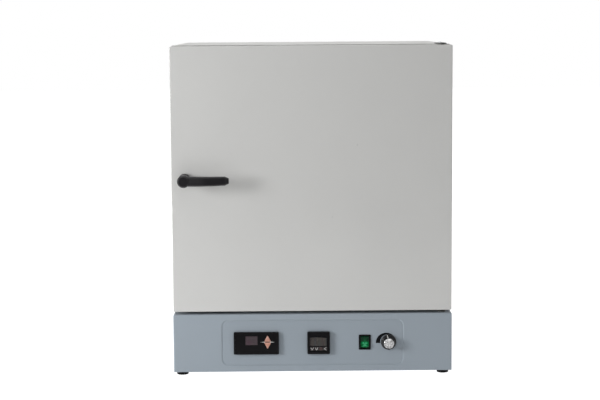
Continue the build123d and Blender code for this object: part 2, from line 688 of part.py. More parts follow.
def fan_shaft():
    front = FAN_FRONT + 4
    length = REAR_PANEL + CASING_SHEET + MOTOR_LENGTH - 4 - front
    shaft = turned(
        (0, 0), (SHAFT_RADIUS, 0), (SHAFT_RADIUS, length - 1), (SHAFT_RADIUS - 1, length), (0, length)
    )
    return face_front(shaft, 0, front + length, CHAMBER_MIDDLE)


def fan_wheel():
    """A radial wheel: a back disc with hub, curved blades and a front ring."""
    disc_face = FAN_FRONT + FAN_WIDTH - FAN_SHEET
    bore = disc(SHAFT_RADIUS)
    web = prism_y(disc(FAN_RADIUS) - bore, disc_face, disc_face + FAN_SHEET)
    hub = prism_y(disc(11) - bore, FAN_FRONT + 6, disc_face)
    ring = prism_y(disc(FAN_RADIUS) - disc(FAN_EYE_RADIUS + 8), FAN_FRONT, FAN_FRONT + FAN_SHEET)
    bow = (FAN_RADIUS - FAN_EYE_RADIUS) / 2
    curve = ThreePointArc(
        (FAN_EYE_RADIUS, 0), (FAN_EYE_RADIUS + bow, bow * 0.45), (FAN_RADIUS - 4, bow * 1.4)
    )
    blade = prism_y(trace(curve, FAN_SHEET), FAN_FRONT, disc_face)
    axle = Axis((0, at(FAN_FRONT), 0), (0, 1, 0))
    blades = [blade.rotate(axle, 360 / FAN_BLADES * step) for step in range(FAN_BLADES)]
    return Pos(0, 0, CHAMBER_MIDDLE) * (web + [hub, ring] + blades)


def port(inner, outer, spread):
    """One ring-sector opening, centred on the upright."""
    half = spread / 2
    wedge = make_face(
        Polyline(
            (0, 0),
            (2 * outer * sin(radians(-half)), 2 * outer * cos(radians(half))),
            (2 * outer * sin(radians(half)), 2 * outer * cos(radians(half))),
            close=True,
        )
    )
    return (Circle(outer) - Circle(inner)) & wedge


def ports(turn=0.0):
    """The evenly spaced openings of the cap's end, or of the rosette when turned."""
    pitch = 360 / ROSETTE_PORTS
    return [
        Rot(0, 0, turn + pitch * step) * port(2 * VENT_PIN_RADIUS, VENT_RADIUS - VENT_WALL - 1, pitch / 2 - 4)
        for step in range(ROSETTE_PORTS)
    ]


def vent_duct():
    """The exhaust tube from the chamber, through the wall, into the cap behind the rear cover."""
    ring = disc(VENT_RADIUS) - disc(VENT_RADIUS - VENT_WALL)
    tube = prism_y(ring, CHAMBER_BACK - VENT_LIP, VENT_END - VENT_WALL - SHEET_CLEARANCE)
    return Pos(VENT_X, 0, VENT_Z) * tube


def vent_cap():
    """The cap on the tube's end: a flange on the rear cover, a sleeve, a ported face and a pin."""
    bore = disc(VENT_RADIUS + SHEET_CLEARANCE)
    cap = prism_y(disc(VENT_CAP_RADIUS) - bore, BODY_DEPTH, VENT_END)
    cap += prism_y(disc(VENT_CAP_RADIUS + VENT_FLANGE) - bore, BODY_DEPTH, BODY_DEPTH + VENT_FLANGE_SHEET)
    cap += prism_y(disc(VENT_CAP_RADIUS) - ports(), VENT_END - VENT_WALL, VENT_END)
    cap += prism_y(disc(VENT_PIN_RADIUS), VENT_END - VENT_WALL, ROSETTE_BACK + 1)
    return Pos(VENT_X, 0, VENT_Z) * cap


def vent_rosette():
    """The turning disc, shut at rest, that covers or frees the cap's ports; a grip rib crosses it."""
    front = ROSETTE_BACK - ROSETTE_SHEET
    bore = disc(VENT_PIN_RADIUS + RUNNING_CLEARANCE)
    plate = prism_y(disc(VENT_CAP_RADIUS) - bore - ports(180 / ROSETTE_PORTS), front, ROSETTE_BACK)
    rib = rounded(2 * VENT_RADIUS - 8, 4, 1.5) - disc(2 * VENT_PIN_RADIUS)
    return Pos(VENT_X, 0, VENT_Z) * (plate + prism_y(rib, ROSETTE_BACK, ROSETTE_BACK + GRIP_HEIGHT))


def plinth_block(inset, top):
    """The plinth's outer or inner form, with soft vertical corners and upper edges."""
    radius = EDGE_RADIUS - inset
    outline = Pos(0, at(BODY_DEPTH / 2)) * RectangleRounded(
        PLINTH_WIDTH - 2 * inset, BODY_DEPTH - 2 * inset, radius
    )
    block = prism_z(outline, FOOT_HEIGHT, top)
    return fillet(block.faces().sort_by(Axis.Z)[-1].edges(), radius - 0.2)


def pressed_field(start):
    """The form of the shallow pressing in the plinth's front, from a depth back: wider in front."""
    plane = Plane(origin=(0, at(start), PANEL_Z), x_dir=(1, 0, 0), z_dir=(0, 1, 0))
    mouth = RectangleRounded(
        FIELD_WIDTH + 2 * FIELD_SLOPE, FIELD_HEIGHT + 2 * FIELD_SLOPE, FIELD_CORNER + FIELD_SLOPE
    )
    return extrude(plane * mouth, amount=FIELD_DEPTH, taper=degrees(atan2(FIELD_SLOPE, FIELD_DEPTH)))


def plinth_shell():
    """The blue-grey base: one drawn shell, its front pressed in for the control field."""
    sheet = PLINTH_SHEET
    shell = plinth_block(0, PLINTH_TOP) - plinth_block(sheet, PLINTH_TOP - sheet)
    shell = shell + pressed_field(sheet) - pressed_field(0)
    shell -= [prism_y(hole, FIELD_DEPTH, FIELD_DEPTH + sheet) for hole in panel_cutouts()]
    openings = [Pos(INLET_X, PANEL_Z) * Rectangle(28, 21), disc(FUSE_RADIUS, FUSE_X, PANEL_Z)]
    for side in (-1, 1):
        openings.append(disc(INLET_SCREW_BORE, INLET_X + side * INLET_SCREW_SPREAD, PANEL_Z))
    for step in range(BACK_SLOTS):
        place = Pos(BACK_SLOT_X + step * BACK_SLOT_PITCH, PANEL_Z)
        openings.append(place * SlotOverall(*BACK_SLOT, rotation=90))
    shell -= [prism_y(opening, BODY_DEPTH - sheet, BODY_DEPTH) for opening in openings]
    for depth in LOWER_BRACKET_SCREWS:
        shell -= Pos(HINGE_X, at(depth), PLINTH_TOP) * Cylinder(SCREW_BORE, 4 * sheet)
    return shell


def cutout(x, width, height):
    """The opening in the panel for an instrument's case."""
    return Pos(x, PANEL_Z) * Rectangle(width + 2 * CUTOUT_CLEARANCE, height + 2 * CUTOUT_CLEARANCE)


def panel_cutouts():
    """The openings in the control field for the four instruments."""
    return [
        cutout(CONTROLLER_X, *CONTROLLER_CASE),
        cutout(TIMER_X, TIMER_CASE, TIMER_CASE),
        cutout(SWITCH_X, *SWITCH_BODY),
        disc(POT_BUSH_RADIUS + RUNNING_CLEARANCE, KNOB_X, PANEL_Z),
    ]


def control_overlay():
    """The printed film that lines the pressed field."""
    film = rounded(FIELD_WIDTH - 1, FIELD_HEIGHT - 1, FIELD_CORNER - 0.5, 0, PANEL_Z)
    return prism_y(film, OVERLAY_FRONT, FIELD_DEPTH) - [
        prism_y(hole, OVERLAY_FRONT, FIELD_DEPTH) for hole in panel_cutouts()
    ]


def plinth_floor():
    """The base plate inside the plinth, with turned-up edges and air slots."""
    width = PLINTH_WIDTH - 2 * PLINTH_SHEET - 2 * SHEET_CLEARANCE
    length = BODY_DEPTH - 2 * PLINTH_SHEET - 2 * SHEET_CLEARANCE
    sheet = PLINTH_SHEET
    middle = at(BODY_DEPTH / 2)
    corner = EDGE_RADIUS - sheet
    outer = Pos(0, middle) * RectangleRounded(width, length, corner)
    inner = Pos(0, middle) * RectangleRounded(width - 2 * sheet, length - 2 * sheet, corner / 2)
    floor = prism_z(outer, FOOT_HEIGHT, FOOT_HEIGHT + FLOOR_LIP)
    floor -= prism_z(inner, FOOT_HEIGHT + sheet, FOOT_HEIGHT + FLOOR_LIP)
    holes = [
        Pos(side * FLOOR_SLOT_X, middle + step * FLOOR_SLOT_PITCH) * SlotOverall(*FLOOR_SLOT)
        for side in (-1, 1)
        for step in spaced(FLOOR_SLOTS)
    ]
    holes += [Pos(x, y) * Circle(FOOT_SCREW_RADIUS + RUNNING_CLEARANCE) for x, y in foot_places()]
    return floor - [prism_z(hole, FOOT_HEIGHT, FOOT_HEIGHT + sheet) for hole in holes]


def foot_places():
    return [
        (side * (PLINTH_WIDTH / 2 - FOOT_INSET), at(depth))
        for side in (-1, 1)
        for depth in (FOOT_SETBACK, BODY_DEPTH - FOOT_SETBACK)
    ]


def feet():
    """Four rubber feet, tapering downwards, each hollowed from below for its screw."""
    bore = FOOT_SCREW_RADIUS + RUNNING_CLEARANCE
    foot = turned(
        (bore, FOOT_SCREW_SEAT),
        (FOOT_RECESS_RADIUS, FOOT_SCREW_SEAT),
        (FOOT_RECESS_RADIUS, 0),
        (FOOT_RADIUS - 1.2, 0),
        (FOOT_RADIUS - 0.5, 0.8),
        (FOOT_RADIUS, FOOT_HEIGHT - 1.5),
        (FOOT_RADIUS, FOOT_HEIGHT),
        (bore, FOOT_HEIGHT),
    )
    return together([Pos(x, y) * foot for x, y in foot_places()])


def foot_screws():
    bolt = turned(
        (0, FOOT_SCREW_SEAT - 2.6),
        (4.6, FOOT_SCREW_SEAT - 2.6),
        (4.6, FOOT_SCREW_SEAT),
        (FOOT_SCREW_RADIUS, FOOT_SCREW_SEAT),
        (FOOT_SCREW_RADIUS, FOOT_HEIGHT + 8),
        (0, FOOT_HEIGHT + 8),
    )
    nut = turned((FOOT_SCREW_RADIUS, 0), (4.2, 0), (4.2, 4), (FOOT_SCREW_RADIUS, 4))
    whole = bolt + Pos(0, 0, FOOT_HEIGHT + PLINTH_SHEET) * nut
    return together([Pos(x, y) * whole for x, y in foot_places()])


def bezel(width, height, radius, x, front, back, edge):
    """A moulded front frame with bevelled front edges."""
    block = prism_y(rounded(width, height, radius, x, PANEL_Z), front, back)
    return chamfer(block.faces().sort_by(Axis.Y)[0].edges(), edge)


def triangle(direction, grow=0.0):
    """The outline of an up or down key; grow widens it evenly for its opening."""
    base = direction * TRIANGLE_GAP / 2
    tip = base + direction * TRIANGLE_HEIGHT
    half = TRIANGLE_WIDTH / 2
    shape = make_face(Polyline((-half, base), (half, base), (0, tip), close=True))
    shape = fillet(shape.vertices(), 0.8)
    if grow:
        shape = offset(shape, grow, kind=Kind.ARC)
    return Pos(CONTROLLER_X + TRIANGLE_X, PANEL_Z + TRIANGLE_Z) * shape


def controller_housing():
    """The 96 by 48 controller: bevelled bezel, sunk face, window pocket, keyways and case."""
    front = OVERLAY_FRONT - CONTROLLER_PROUD
    housing = bezel(*CONTROLLER_SIZE, 2.5, CONTROLLER_X, front, OVERLAY_FRONT, 1.2)
    case = Pos(CONTROLLER_X, PANEL_Z) * Rectangle(*CONTROLLER_CASE)
    housing += prism_y(case, OVERLAY_FRONT, CONTROLLER_BEHIND)
    sunk = rounded(CONTROLLER_SIZE[0] - 7, CONTROLLER_SIZE[1] - 7, 1.5, CONTROLLER_X, PANEL_Z)
    housing -= prism_y(sunk, front, front + 0.6)
    pocket = window_outline(0.1)
    housing -= prism_y(pocket, front, front + 2.4)
    for direction in (-1, 1):
        housing -= prism_y(triangle(direction, KEY_CLEARANCE), front, front + KEYWAY_DEPTH)
    return housing


def window_outline(grow=0.0):
    return rounded(
        WINDOW_SIZE[0] + 2 * grow,
        WINDOW_SIZE[1] + 2 * grow,
        0.8 + grow,
        CONTROLLER_X + WINDOW_X,
        PANEL_Z + WINDOW_Z,
    )


def controller_window():
    front = OVERLAY_FRONT - CONTROLLER_PROUD
    return prism_y(window_outline(), front + 0.7, front + 2.4)


def controller_key(direction):
    """A triangular key that stands a little out of the sunk face."""
    front = OVERLAY_FRONT - CONTROLLER_PROUD
    key = prism_y(triangle(direction), front, front + KEYWAY_DEPTH - KEY_TRAVEL - KEY_CLEARANCE)
    return fillet(key.faces().sort_by(Axis.Y)[0].edges(), 0.3)


def timer_housing():
    """The 48 by 48 timer: a deep frame round a sunk field, with four keyways at its foot."""
    front = OVERLAY_FRONT - TIMER_PROUD
    housing = bezel(TIMER_SIZE, TIMER_SIZE, 2.5, TIMER_X, front, OVERLAY_FRONT, 1.2)
    case = Pos(TIMER_X, PANEL_Z) * Rectangle(TIMER_CASE, TIMER_CASE)
    housing += prism_y(case, OVERLAY_FRONT, TIMER_BEHIND)
    field = rounded(*TIMER_FIELD, 1, TIMER_X, PANEL_Z + TIMER_FIELD_Z)
    housing -= prism_y(field, front, front + TIMER_FIELD_SINK)
    housing -= prism_y(timer_window_outline(0.1), front, front + TIMER_FIELD_SINK + 1.5)
    keyway = front + TIMER_FIELD_SINK + KEYWAY_DEPTH - 1.1
    for index in range(TIMER_KEYS):
        housing -= prism_y(timer_key_outline(index, KEY_CLEARANCE), front, keyway)
    return housing


def timer_window_outline(grow=0.0):
    width = TIMER_FIELD[0] - 2
    height = TIMER_FIELD[1] - TIMER_KEY_SIZE[1] - 4.4
    top = PANEL_Z + TIMER_FIELD_Z + TIMER_FIELD[1] / 2 - 1
    return rounded(width + 2 * grow, height + 2 * grow, 0.6 + grow, TIMER_X, top - height / 2)


def timer_key_outline(index, grow=0.0):
    x = TIMER_X + (index - (TIMER_KEYS - 1) / 2) * TIMER_KEY_PITCH
    z = PANEL_Z + TIMER_FIELD_Z - TIMER_FIELD[1] / 2 + 1.4 + TIMER_KEY_SIZE[1] / 2
    return rounded(TIMER_KEY_SIZE[0] + 2 * grow, TIMER_KEY_SIZE[1] + 2 * grow, 0.8 + grow, x, z)


def timer_window():
    front = OVERLAY_FRONT - TIMER_PROUD
    sunk = front + TIMER_FIELD_SINK
    return prism_y(timer_window_outline(), sunk + 0.1, sunk + 1.5)


def timer_key(index):
    front = OVERLAY_FRONT - TIMER_PROUD
    keyway = front + TIMER_FIELD_SINK + KEYWAY_DEPTH - 1.1
    key = prism_y(timer_key_outline(index), front + 1.3, keyway - KEY_TRAVEL - KEY_CLEARANCE)
    return fillet(key.faces().sort_by(Axis.Y)[0].edges(), 0.5)


def switch_housing():
    """The rocker's frame and body, hollowed to the rocker's swing, with two pivot sockets."""
    front = OVERLAY_FRONT - SWITCH_PROUD
    housing = bezel(*SWITCH_SIZE, 2, SWITCH_X, front, OVERLAY_FRONT, 0.8)
    body = Pos(SWITCH_X, PANEL_Z) * Rectangle(*SWITCH_BODY)
    housing += prism_y(body, OVERLAY_FRONT, ROCKER_DEPTH + ROCKER_RADIUS + 8)
    half = ROCKER_WIDTH / 2 + KEY_CLEARANCE
    swing = Pos(at(ROCKER_DEPTH), PANEL_Z) * Circle(ROCKER_RADIUS + KEY_CLEARANCE)
    mouth = Pos(at(ROCKER_DEPTH - ROCKER_RADIUS), PANEL_Z) * Rectangle(
        2 * ROCKER_RADIUS, 2 * (ROCKER_RADIUS + KEY_CLEARANCE)
    )
    housing -= prism_x(swing + mouth, SWITCH_X - half, SWITCH_X + half)
    socket = Pos(at(ROCKER_DEPTH), PANEL_Z) * Circle(TRUNNION_RADIUS + RUNNING_CLEARANCE)
    reach = half + TRUNNION_REACH
    return housing - prism_x(socket, SWITCH_X - reach, SWITCH_X + reach)


def switch_rocker():
    """The rocker: round ends about its pivot, a shallow V across its front, pressed in at the top."""
    front_middle = -7.0
    front_end = -10.0
    blank = make_face(
        Polyline(
            (front_middle, 0),
            (front_end, ROCKER_RADIUS),
            (5, ROCKER_RADIUS),
            (5, -ROCKER_RADIUS),
            (front_end, -ROCKER_RADIUS),
            close=True,
        )
    )
    profile = Rot(0, 0, -ROCKER_TILT) * (blank & Circle(ROCKER_RADIUS))
    half = ROCKER_WIDTH / 2
    place = Pos(at(ROCKER_DEPTH), PANEL_Z)
    rocker = prism_x(place * profile, SWITCH_X - half, SWITCH_X + half)
    reach = half + KEY_CLEARANCE + TRUNNION_REACH - 0.2
    return rocker + prism_x(place * Circle(TRUNNION_RADIUS), SWITCH_X - reach, SWITCH_X + reach)


def speed_potentiometer():
    """The control behind the knob: a can, a bush through the panel and its nut in front."""
    back = FIELD_DEPTH + PLINTH_SHEET
    bush = prism_y(disc(POT_BUSH_RADIUS), OVERLAY_FRONT - POT_BUSH_REACH, back)
    can = prism_y(disc(12), back, back + 10)
    nut = prism_y(RegularPolygon(7.6, 6), OVERLAY_FRONT - POT_NUT_HEIGHT, OVERLAY_FRONT)
    bore = disc(POT_SHAFT_RADIUS + RUNNING_CLEARANCE)
    body = bush + can + nut - prism_y(bore, OVERLAY_FRONT - POT_BUSH_REACH, back + 6)
    return Pos(KNOB_X, 0, PANEL_Z) * body


def potentiometer_shaft():
    front = OVERLAY_FRONT - POT_SHAFT_REACH
    return prism_y(disc(POT_SHAFT_RADIUS, KNOB_X, PANEL_Z), front, FIELD_DEPTH + PLINTH_SHEET + 5.5)


def knob_skirt():
    """The black knob: a wide skirt and a fluted grip, hollow behind to clear the nut."""
    recess = POT_BUSH_REACH
    grip_top = KNOB_HEIGHT - KNOB_CAP_SHEET
    foot_radius = KNOB_CAP_RADIUS + 1.6
    top_radius = KNOB_CAP_RADIUS + 1.0
    body = turned(
        (POT_SHAFT_RADIUS, recess),
        (9.6, recess),
        (9.6, KEY_CLEARANCE),
        (KNOB_RADIUS, KEY_CLEARANCE),
        (KNOB_RADIUS, KNOB_GRIP_FOOT - 2.4),
        (KNOB_RADIUS - 1.2, KNOB_GRIP_FOOT - 1.2),
        (foot_radius, KNOB_GRIP_FOOT),
        (top_radius, grip_top),
        (0, grip_top),
        (0, POT_SHAFT_REACH),
        (POT_SHAFT_RADIUS, POT_SHAFT_REACH),
    )
    flute = Pos(top_radius + 0.6 * KNOB_FLUTE_RADIUS, 0, KNOB_GRIP_FOOT + 1) * Cylinder(
        KNOB_FLUTE_RADIUS, KNOB_HEIGHT, align=(Align.CENTER, Align.CENTER, Align.MIN)
    )
    body -= [Rot(0, 0, 360 / KNOB_FLUTES * step) * flute for step in range(KNOB_FLUTES)]
    return face_front(body, KNOB_X, OVERLAY_FRONT, PANEL_Z)


def knob_cap():
    """The aluminium disc let into the knob's end, with a bevelled rim and a dished face."""
    seat = KNOB_HEIGHT - KNOB_CAP_SHEET
    cap = turned(
        (0, seat),
        (KNOB_CAP_RADIUS, seat),
        (KNOB_CAP_RADIUS, KNOB_HEIGHT - 0.6),
        (KNOB_CAP_RADIUS - 0.6, KNOB_HEIGHT),
        (KNOB_CAP_RADIUS - 1.6, KNOB_HEIGHT),
        (KNOB_CAP_RADIUS - 2.2, KNOB_HEIGHT - 0.5),
        (0, KNOB_HEIGHT - 0.5),
    )
    return face_front(cap, KNOB_X, OVERLAY_FRONT, PANEL_Z)


def solid_state_relay():
    """The heater's switching block on its finned heat sink."""
    place = Pos(RELAY_X, at(BODY_DEPTH / 2), ELECTRICS_FLOOR)
    sink = Pos(0, 0, 3) * Box(70, 80, 6)
    fins = [Pos(x, 0, 12) * Box(2, 80, 12) for x in range(-32, 33, 8)]
    block = Pos(0, 0, 18 + 12) * Box(45, 58, 24)
    return place * (sink + fins + block)


def terminal_block():
    """A row of screw terminals between raised barriers."""
    place = Pos(TERMINALS_X, at(BODY_DEPTH / 2), ELECTRICS_FLOOR)
    base = Pos(0, 0, 5) * Box(TERMINAL_WAYS * TERMINAL_PITCH + 2, 24, 10)
    barriers = [Pos(step * TERMINAL_PITCH, 0, 8) * Box(2, 24, 16) for step in spaced(TERMINAL_WAYS + 1)]
    screws = [
        Pos(step * TERMINAL_PITCH, side * 6, 10) * Cylinder(2.6, 4)
        for step in spaced(TERMINAL_WAYS)
        for side in (-1, 1)
    ]
    return place * (base + barriers + screws)


def mains_inlet():
    """A three-pin appliance inlet screwed into the plinth's back, its cavity keyed at two corners."""
    flange = rounded(50, 26, 4, INLET_X, PANEL_Z)
    for side in (-1, 1):
        flange -= disc(INLET_SCREW_BORE, INLET_X + side * INLET_SCREW_SPREAD, PANEL_Z)
    body = Pos(INLET_X, PANEL_Z) * Rectangle(27.4, 20.4)
    mouth = Pos(INLET_X, PANEL_Z) * chamfer(Rectangle(24.4, 16.4).vertices().group_by(Axis.Y)[-1], 4.5)
    rear = BODY_DEPTH + INLET_FLANGE
    inlet = prism_y(flange, BODY_DEPTH, rear)
    inlet += prism_y(body, rear - INLET_CAVITY - 6, BODY_DEPTH)
    return inlet - prism_y(mouth, rear - INLET_CAVITY, rear)


def inlet_pins():
    """Three flat pins; the earth pin is set higher than the other two."""
    root = BODY_DEPTH + INLET_FLANGE - INLET_CAVITY
    places = [(-7, -2), (7, -2), (0, 2)]
    return together(
        [
            prism_y(Pos(INLET_X + x, PANEL_Z + z) * Rectangle(*INLET_PIN), root, root + INLET_PIN_LENGTH)
            for x, z in places
        ]
    )


def fuse_holder():
    """A round fuse holder with a slotted cap."""
    profile = turned(
        (0, -26),
        (FUSE_RADIUS - 0.1, -26),
        (FUSE_RADIUS - 0.1, 0),
        (8.5, 0),
        (8.5, 2),
        (6.2, 3),
        (6.2, 9),
        (5.4, 10),
        (0, 10),
    )
    slot = Pos(0, 0, 9.5) * Box(14, 1.6, 2)
    return face_back(profile - slot, FUSE_X, BODY_DEPTH, PANEL_Z)


def bracket_outline(tail):
    """A strip with one end rounded about the hinge pin."""
    radius = BRACKET_WIDTH / 2
    strip = Pos(HINGE_X, at((HINGE_DEPTH + tail) / 2)) * Rectangle(BRACKET_WIDTH, tail - HINGE_DEPTH)
    return strip + Pos(HINGE_X, at(HINGE_DEPTH)) * Circle(radius)


def hinge_bracket_upper():
    """The plate on the casing's top, with the door's upper pin riveted through it."""
    bottom = CASING_TOP
    top = bottom + BRACKET_SHEET
    plate = prism_z(bracket_outline(CASING_FRONT + 40), bottom, top)
    for depth in UPPER_BRACKET_SCREWS:
        plate -= prism_z(Pos(HINGE_X, at(depth)) * Circle(SCREW_BORE), bottom, top)
    pin = Pos(HINGE_X, at(HINGE_DEPTH)) * Circle(HINGE_PIN_RADIUS)
    return plate + prism_z(pin, DOOR_TOP - HINGE_PIN_REACH, top + 0.6)


def hinge_bracket_lower():
    """The plate on the plinth under the door, with the door's lower pin."""
    bottom = PLINTH_TOP
    top = bottom + BRACKET_SHEET
    plate = prism_z(bracket_outline(CASING_FRONT - 2), bottom, top)
    for depth in LOWER_BRACKET_SCREWS:
        plate -= prism_z(Pos(HINGE_X, at(depth)) * Circle(SCREW_BORE), bottom, top)
    pin = Pos(HINGE_X, at(HINGE_DEPTH)) * Circle(HINGE_PIN_RADIUS)
    return plate + prism_z(pin, bottom, DOOR_BOTTOM + HINGE_PIN_REACH)


def hinge_bushes():
    """Two bushes in the door; the lower one's collar carries the door on its bracket."""
    bore = HINGE_PIN_RADIUS + RUNNING_CLEARANCE
    reach = HINGE_PIN_REACH + 2
    collar = UNDER_DOOR_GAP - BRACKET_SHEET - KEY_CLEARANCE
    lip = 3.0
    lower = turned(
        (bore, -collar),
        (BUSH_RADIUS + 1.5, -collar),
        (BUSH_RADIUS + 1.5, 0),
        (BUSH_RADIUS, 0),
        (BUSH_RADIUS, DOOR_SHEET),
        (BUSH_RADIUS + lip, DOOR_SHEET),
        (BUSH_RADIUS + lip, DOOR_SHEET + 2),
        (BUSH_RADIUS, DOOR_SHEET + 2),
        (BUSH_RADIUS, reach),
        (bore, reach),
    )
    upper = turned(
        (bore, 0),
        (BUSH_RADIUS, 0),
        (BUSH_RADIUS, DOOR_SHEET),
        (BUSH_RADIUS + lip, DOOR_SHEET),
        (BUSH_RADIUS + lip, DOOR_SHEET + 2),
        (BUSH_RADIUS, DOOR_SHEET + 2),
        (BUSH_RADIUS, reach),
        (bore, reach),
    )
    place = Pos(HINGE_X, at(HINGE_DEPTH), DOOR_BOTTOM)
    flipped = Pos(HINGE_X, at(HINGE_DEPTH), DOOR_TOP) * Rot(180, 0, 0)
    return together([place * lower, flipped * upper])


def door_skin():
    """The door's painted pan: front and four sides from one sheet, with a flange at the back."""
    sheet = DOOR_SHEET
    back = DOOR_THICKNESS - sheet
    outline = rounded(BODY_WIDTH, DOOR_HEIGHT, EDGE_RADIUS, 0, DOOR_MIDDLE)
    inside = rounded(
        BODY_WIDTH - 2 * sheet, DOOR_HEIGHT - 2 * sheet, EDGE_RADIUS - sheet, 0, DOOR_MIDDLE
    )
    opening = rounded(
        BODY_WIDTH - 2 * FLANGE, DOOR_HEIGHT - 2 * FLANGE, EDGE_RADIUS, 0, DOOR_MIDDLE
    )
    block = prism_y(outline, 0, back)
    block = fillet(block.faces().sort_by(Axis.Y)[0].edges(), EDGE_RADIUS - sheet)
    skin = block - prism_y(inside, sheet, back - sheet) - prism_y(opening, back - sheet, back)
    skin -= prism_y(disc(SLEEVE_RADIUS, HANDLE_X, LATCH_Z), 0, sheet)
    bush = Pos(HINGE_X, at(HINGE_DEPTH)) * Circle(BUSH_RADIUS)
    skin -= prism_z(bush, DOOR_BOTTOM, DOOR_BOTTOM + sheet)
    return skin - prism_z(bush, DOOR_TOP - sheet, DOOR_TOP)


def door_inner_panel():
    """The stainless inner face, with a shallow field pressed towards the chamber."""
    sheet = DOOR_SHEET
    front = DOOR_THICKNESS - sheet
    plate = prism_y(
        rounded(BODY_WIDTH - 2 * sheet, DOOR_HEIGHT - 2 * sheet, EDGE_RADIUS, 0, DOOR_MIDDLE),
        front,
        DOOR_THICKNESS,
    )
    plane = Plane(origin=(0, at(front), CHAMBER_MIDDLE), x_dir=(1, 0, 0), z_dir=(0, 1, 0))
    width = CHAMBER_WIDTH - 16
    height = CHAMBER_HEIGHT - 16
    rise = INNER_FIELD_RISE + sheet
    slope = 35
    raised = extrude(plane * RectangleRounded(width, height, 18), amount=rise, taper=slope)
    hollow = extrude(
        plane * RectangleRounded(width - 2 * sheet, height - 2 * sheet, 17), amount=rise - sheet, taper=slope
    )
    bore = prism_y(disc(SLEEVE_RADIUS, HANDLE_X, LATCH_Z), front, DOOR_THICKNESS)
    return plate + raised - hollow - bore


def door_insulation():
    """The wool block inside the door, cut away round the bushes and the spindle's sleeve."""
    gap = WOOL_CLEARANCE + DOOR_SHEET
    front = gap
    back = DOOR_THICKNESS - 2 * DOOR_SHEET - WOOL_CLEARANCE
    outline = rounded(BODY_WIDTH - 2 * gap, DOOR_HEIGHT - 2 * gap, 2, 0, DOOR_MIDDLE)
    wool = prism_y(outline, front, back)
    wool -= prism_y(disc(SLEEVE_RADIUS + WOOL_CLEARANCE, HANDLE_X, LATCH_Z), front, back)
    pocket = Pos(HINGE_X, at(HINGE_DEPTH)) * Circle(BUSH_RADIUS + 3 + WOOL_CLEARANCE)
    reach = HINGE_PIN_REACH + 6
    wool -= prism_z(pocket, DOOR_BOTTOM, DOOR_BOTTOM + reach)
    return wool - prism_z(pocket, DOOR_TOP - reach, DOOR_TOP)


def spindle_sleeve():
    """The sleeve through the door with its round rose under the handle."""
    bore = SPINDLE_RADIUS + RUNNING_CLEARANCE
    sleeve = turned(
        (bore, -DOOR_THICKNESS - 1),
        (SLEEVE_RADIUS, -DOOR_THICKNESS - 1),
        (SLEEVE_RADIUS, 0),
        (BOSS_RADIUS, 0),
        (BOSS_RADIUS, ROSE_THICKNESS - 0.6),
        (BOSS_RADIUS - 0.6, ROSE_THICKNESS),
        (bore, ROSE_THICKNESS),
    )
    return face_front(sleeve, HANDLE_X, 0, LATCH_Z)


def handle_spindle():
    """The spindle from inside the handle's boss to the latch, with a shoulder nut behind."""
    spindle = turned(
        (0, -SPINDLE_BACK),
        (SPINDLE_RADIUS + 2, -SPINDLE_BACK),
        (SPINDLE_RADIUS + 2, -SPINDLE_BACK + SPINDLE_NUT),
        (SPINDLE_RADIUS, -SPINDLE_BACK + SPINDLE_NUT),
        (SPINDLE_RADIUS, SPINDLE_REACH),
        (0, SPINDLE_REACH),
    )
    return face_front(spindle, HANDLE_X, 0, LATCH_Z)


def latch_tongue():
    """The cross piece that turns behind the keeper; upright while the handle lies level."""
    hub = disc(SPINDLE_RADIUS + 3)
    bar = rounded(TONGUE_WIDTH, TONGUE_LENGTH, 2.5)
    bore = disc(SPINDLE_RADIUS)
    tongue = prism_y(bar + hub - bore, TONGUE_FRONT, TONGUE_FRONT + TONGUE_THICKNESS)
    tongue += prism_y(hub - bore, DOOR_THICKNESS + 1 + KEY_CLEARANCE, TONGUE_FRONT)
    return Pos(HANDLE_X, 0, LATCH_Z) * tongue


def keeper_plate():
    """The plate that the tongue locks behind, with its upright slot."""
    front = CASING_FRONT - KEEPER_SHEET
    plate = rounded(*KEEPER_SIZE, 4, HANDLE_X, LATCH_Z)
    plate -= rounded(KEEPER_SLOT_WIDTH, KEEPER_SLOT_HEIGHT, 3, HANDLE_X, LATCH_Z)
    for z in KEEPER_SCREWS:
        plate -= disc(SCREW_BORE, HANDLE_X, z)
    keeper = prism_y(plate, front, CASING_FRONT)
    return chamfer(keeper.faces().sort_by(Axis.Y)[0].outer_wire().edges(), 0.6)


def lever_section(along, sink, tall, thick, rounding, rise=0.0):
    """One cross-section of the grip: sink is its middle's depth below the grip's front."""
    origin = (HANDLE_X + along, at(sink - HANDLE_REACH), LATCH_Z + rise)
    return Plane(origin=origin, x_dir=(0, 1, 0), z_dir=(1, 0, 0)) * RectangleRounded(thick, tall, rounding)


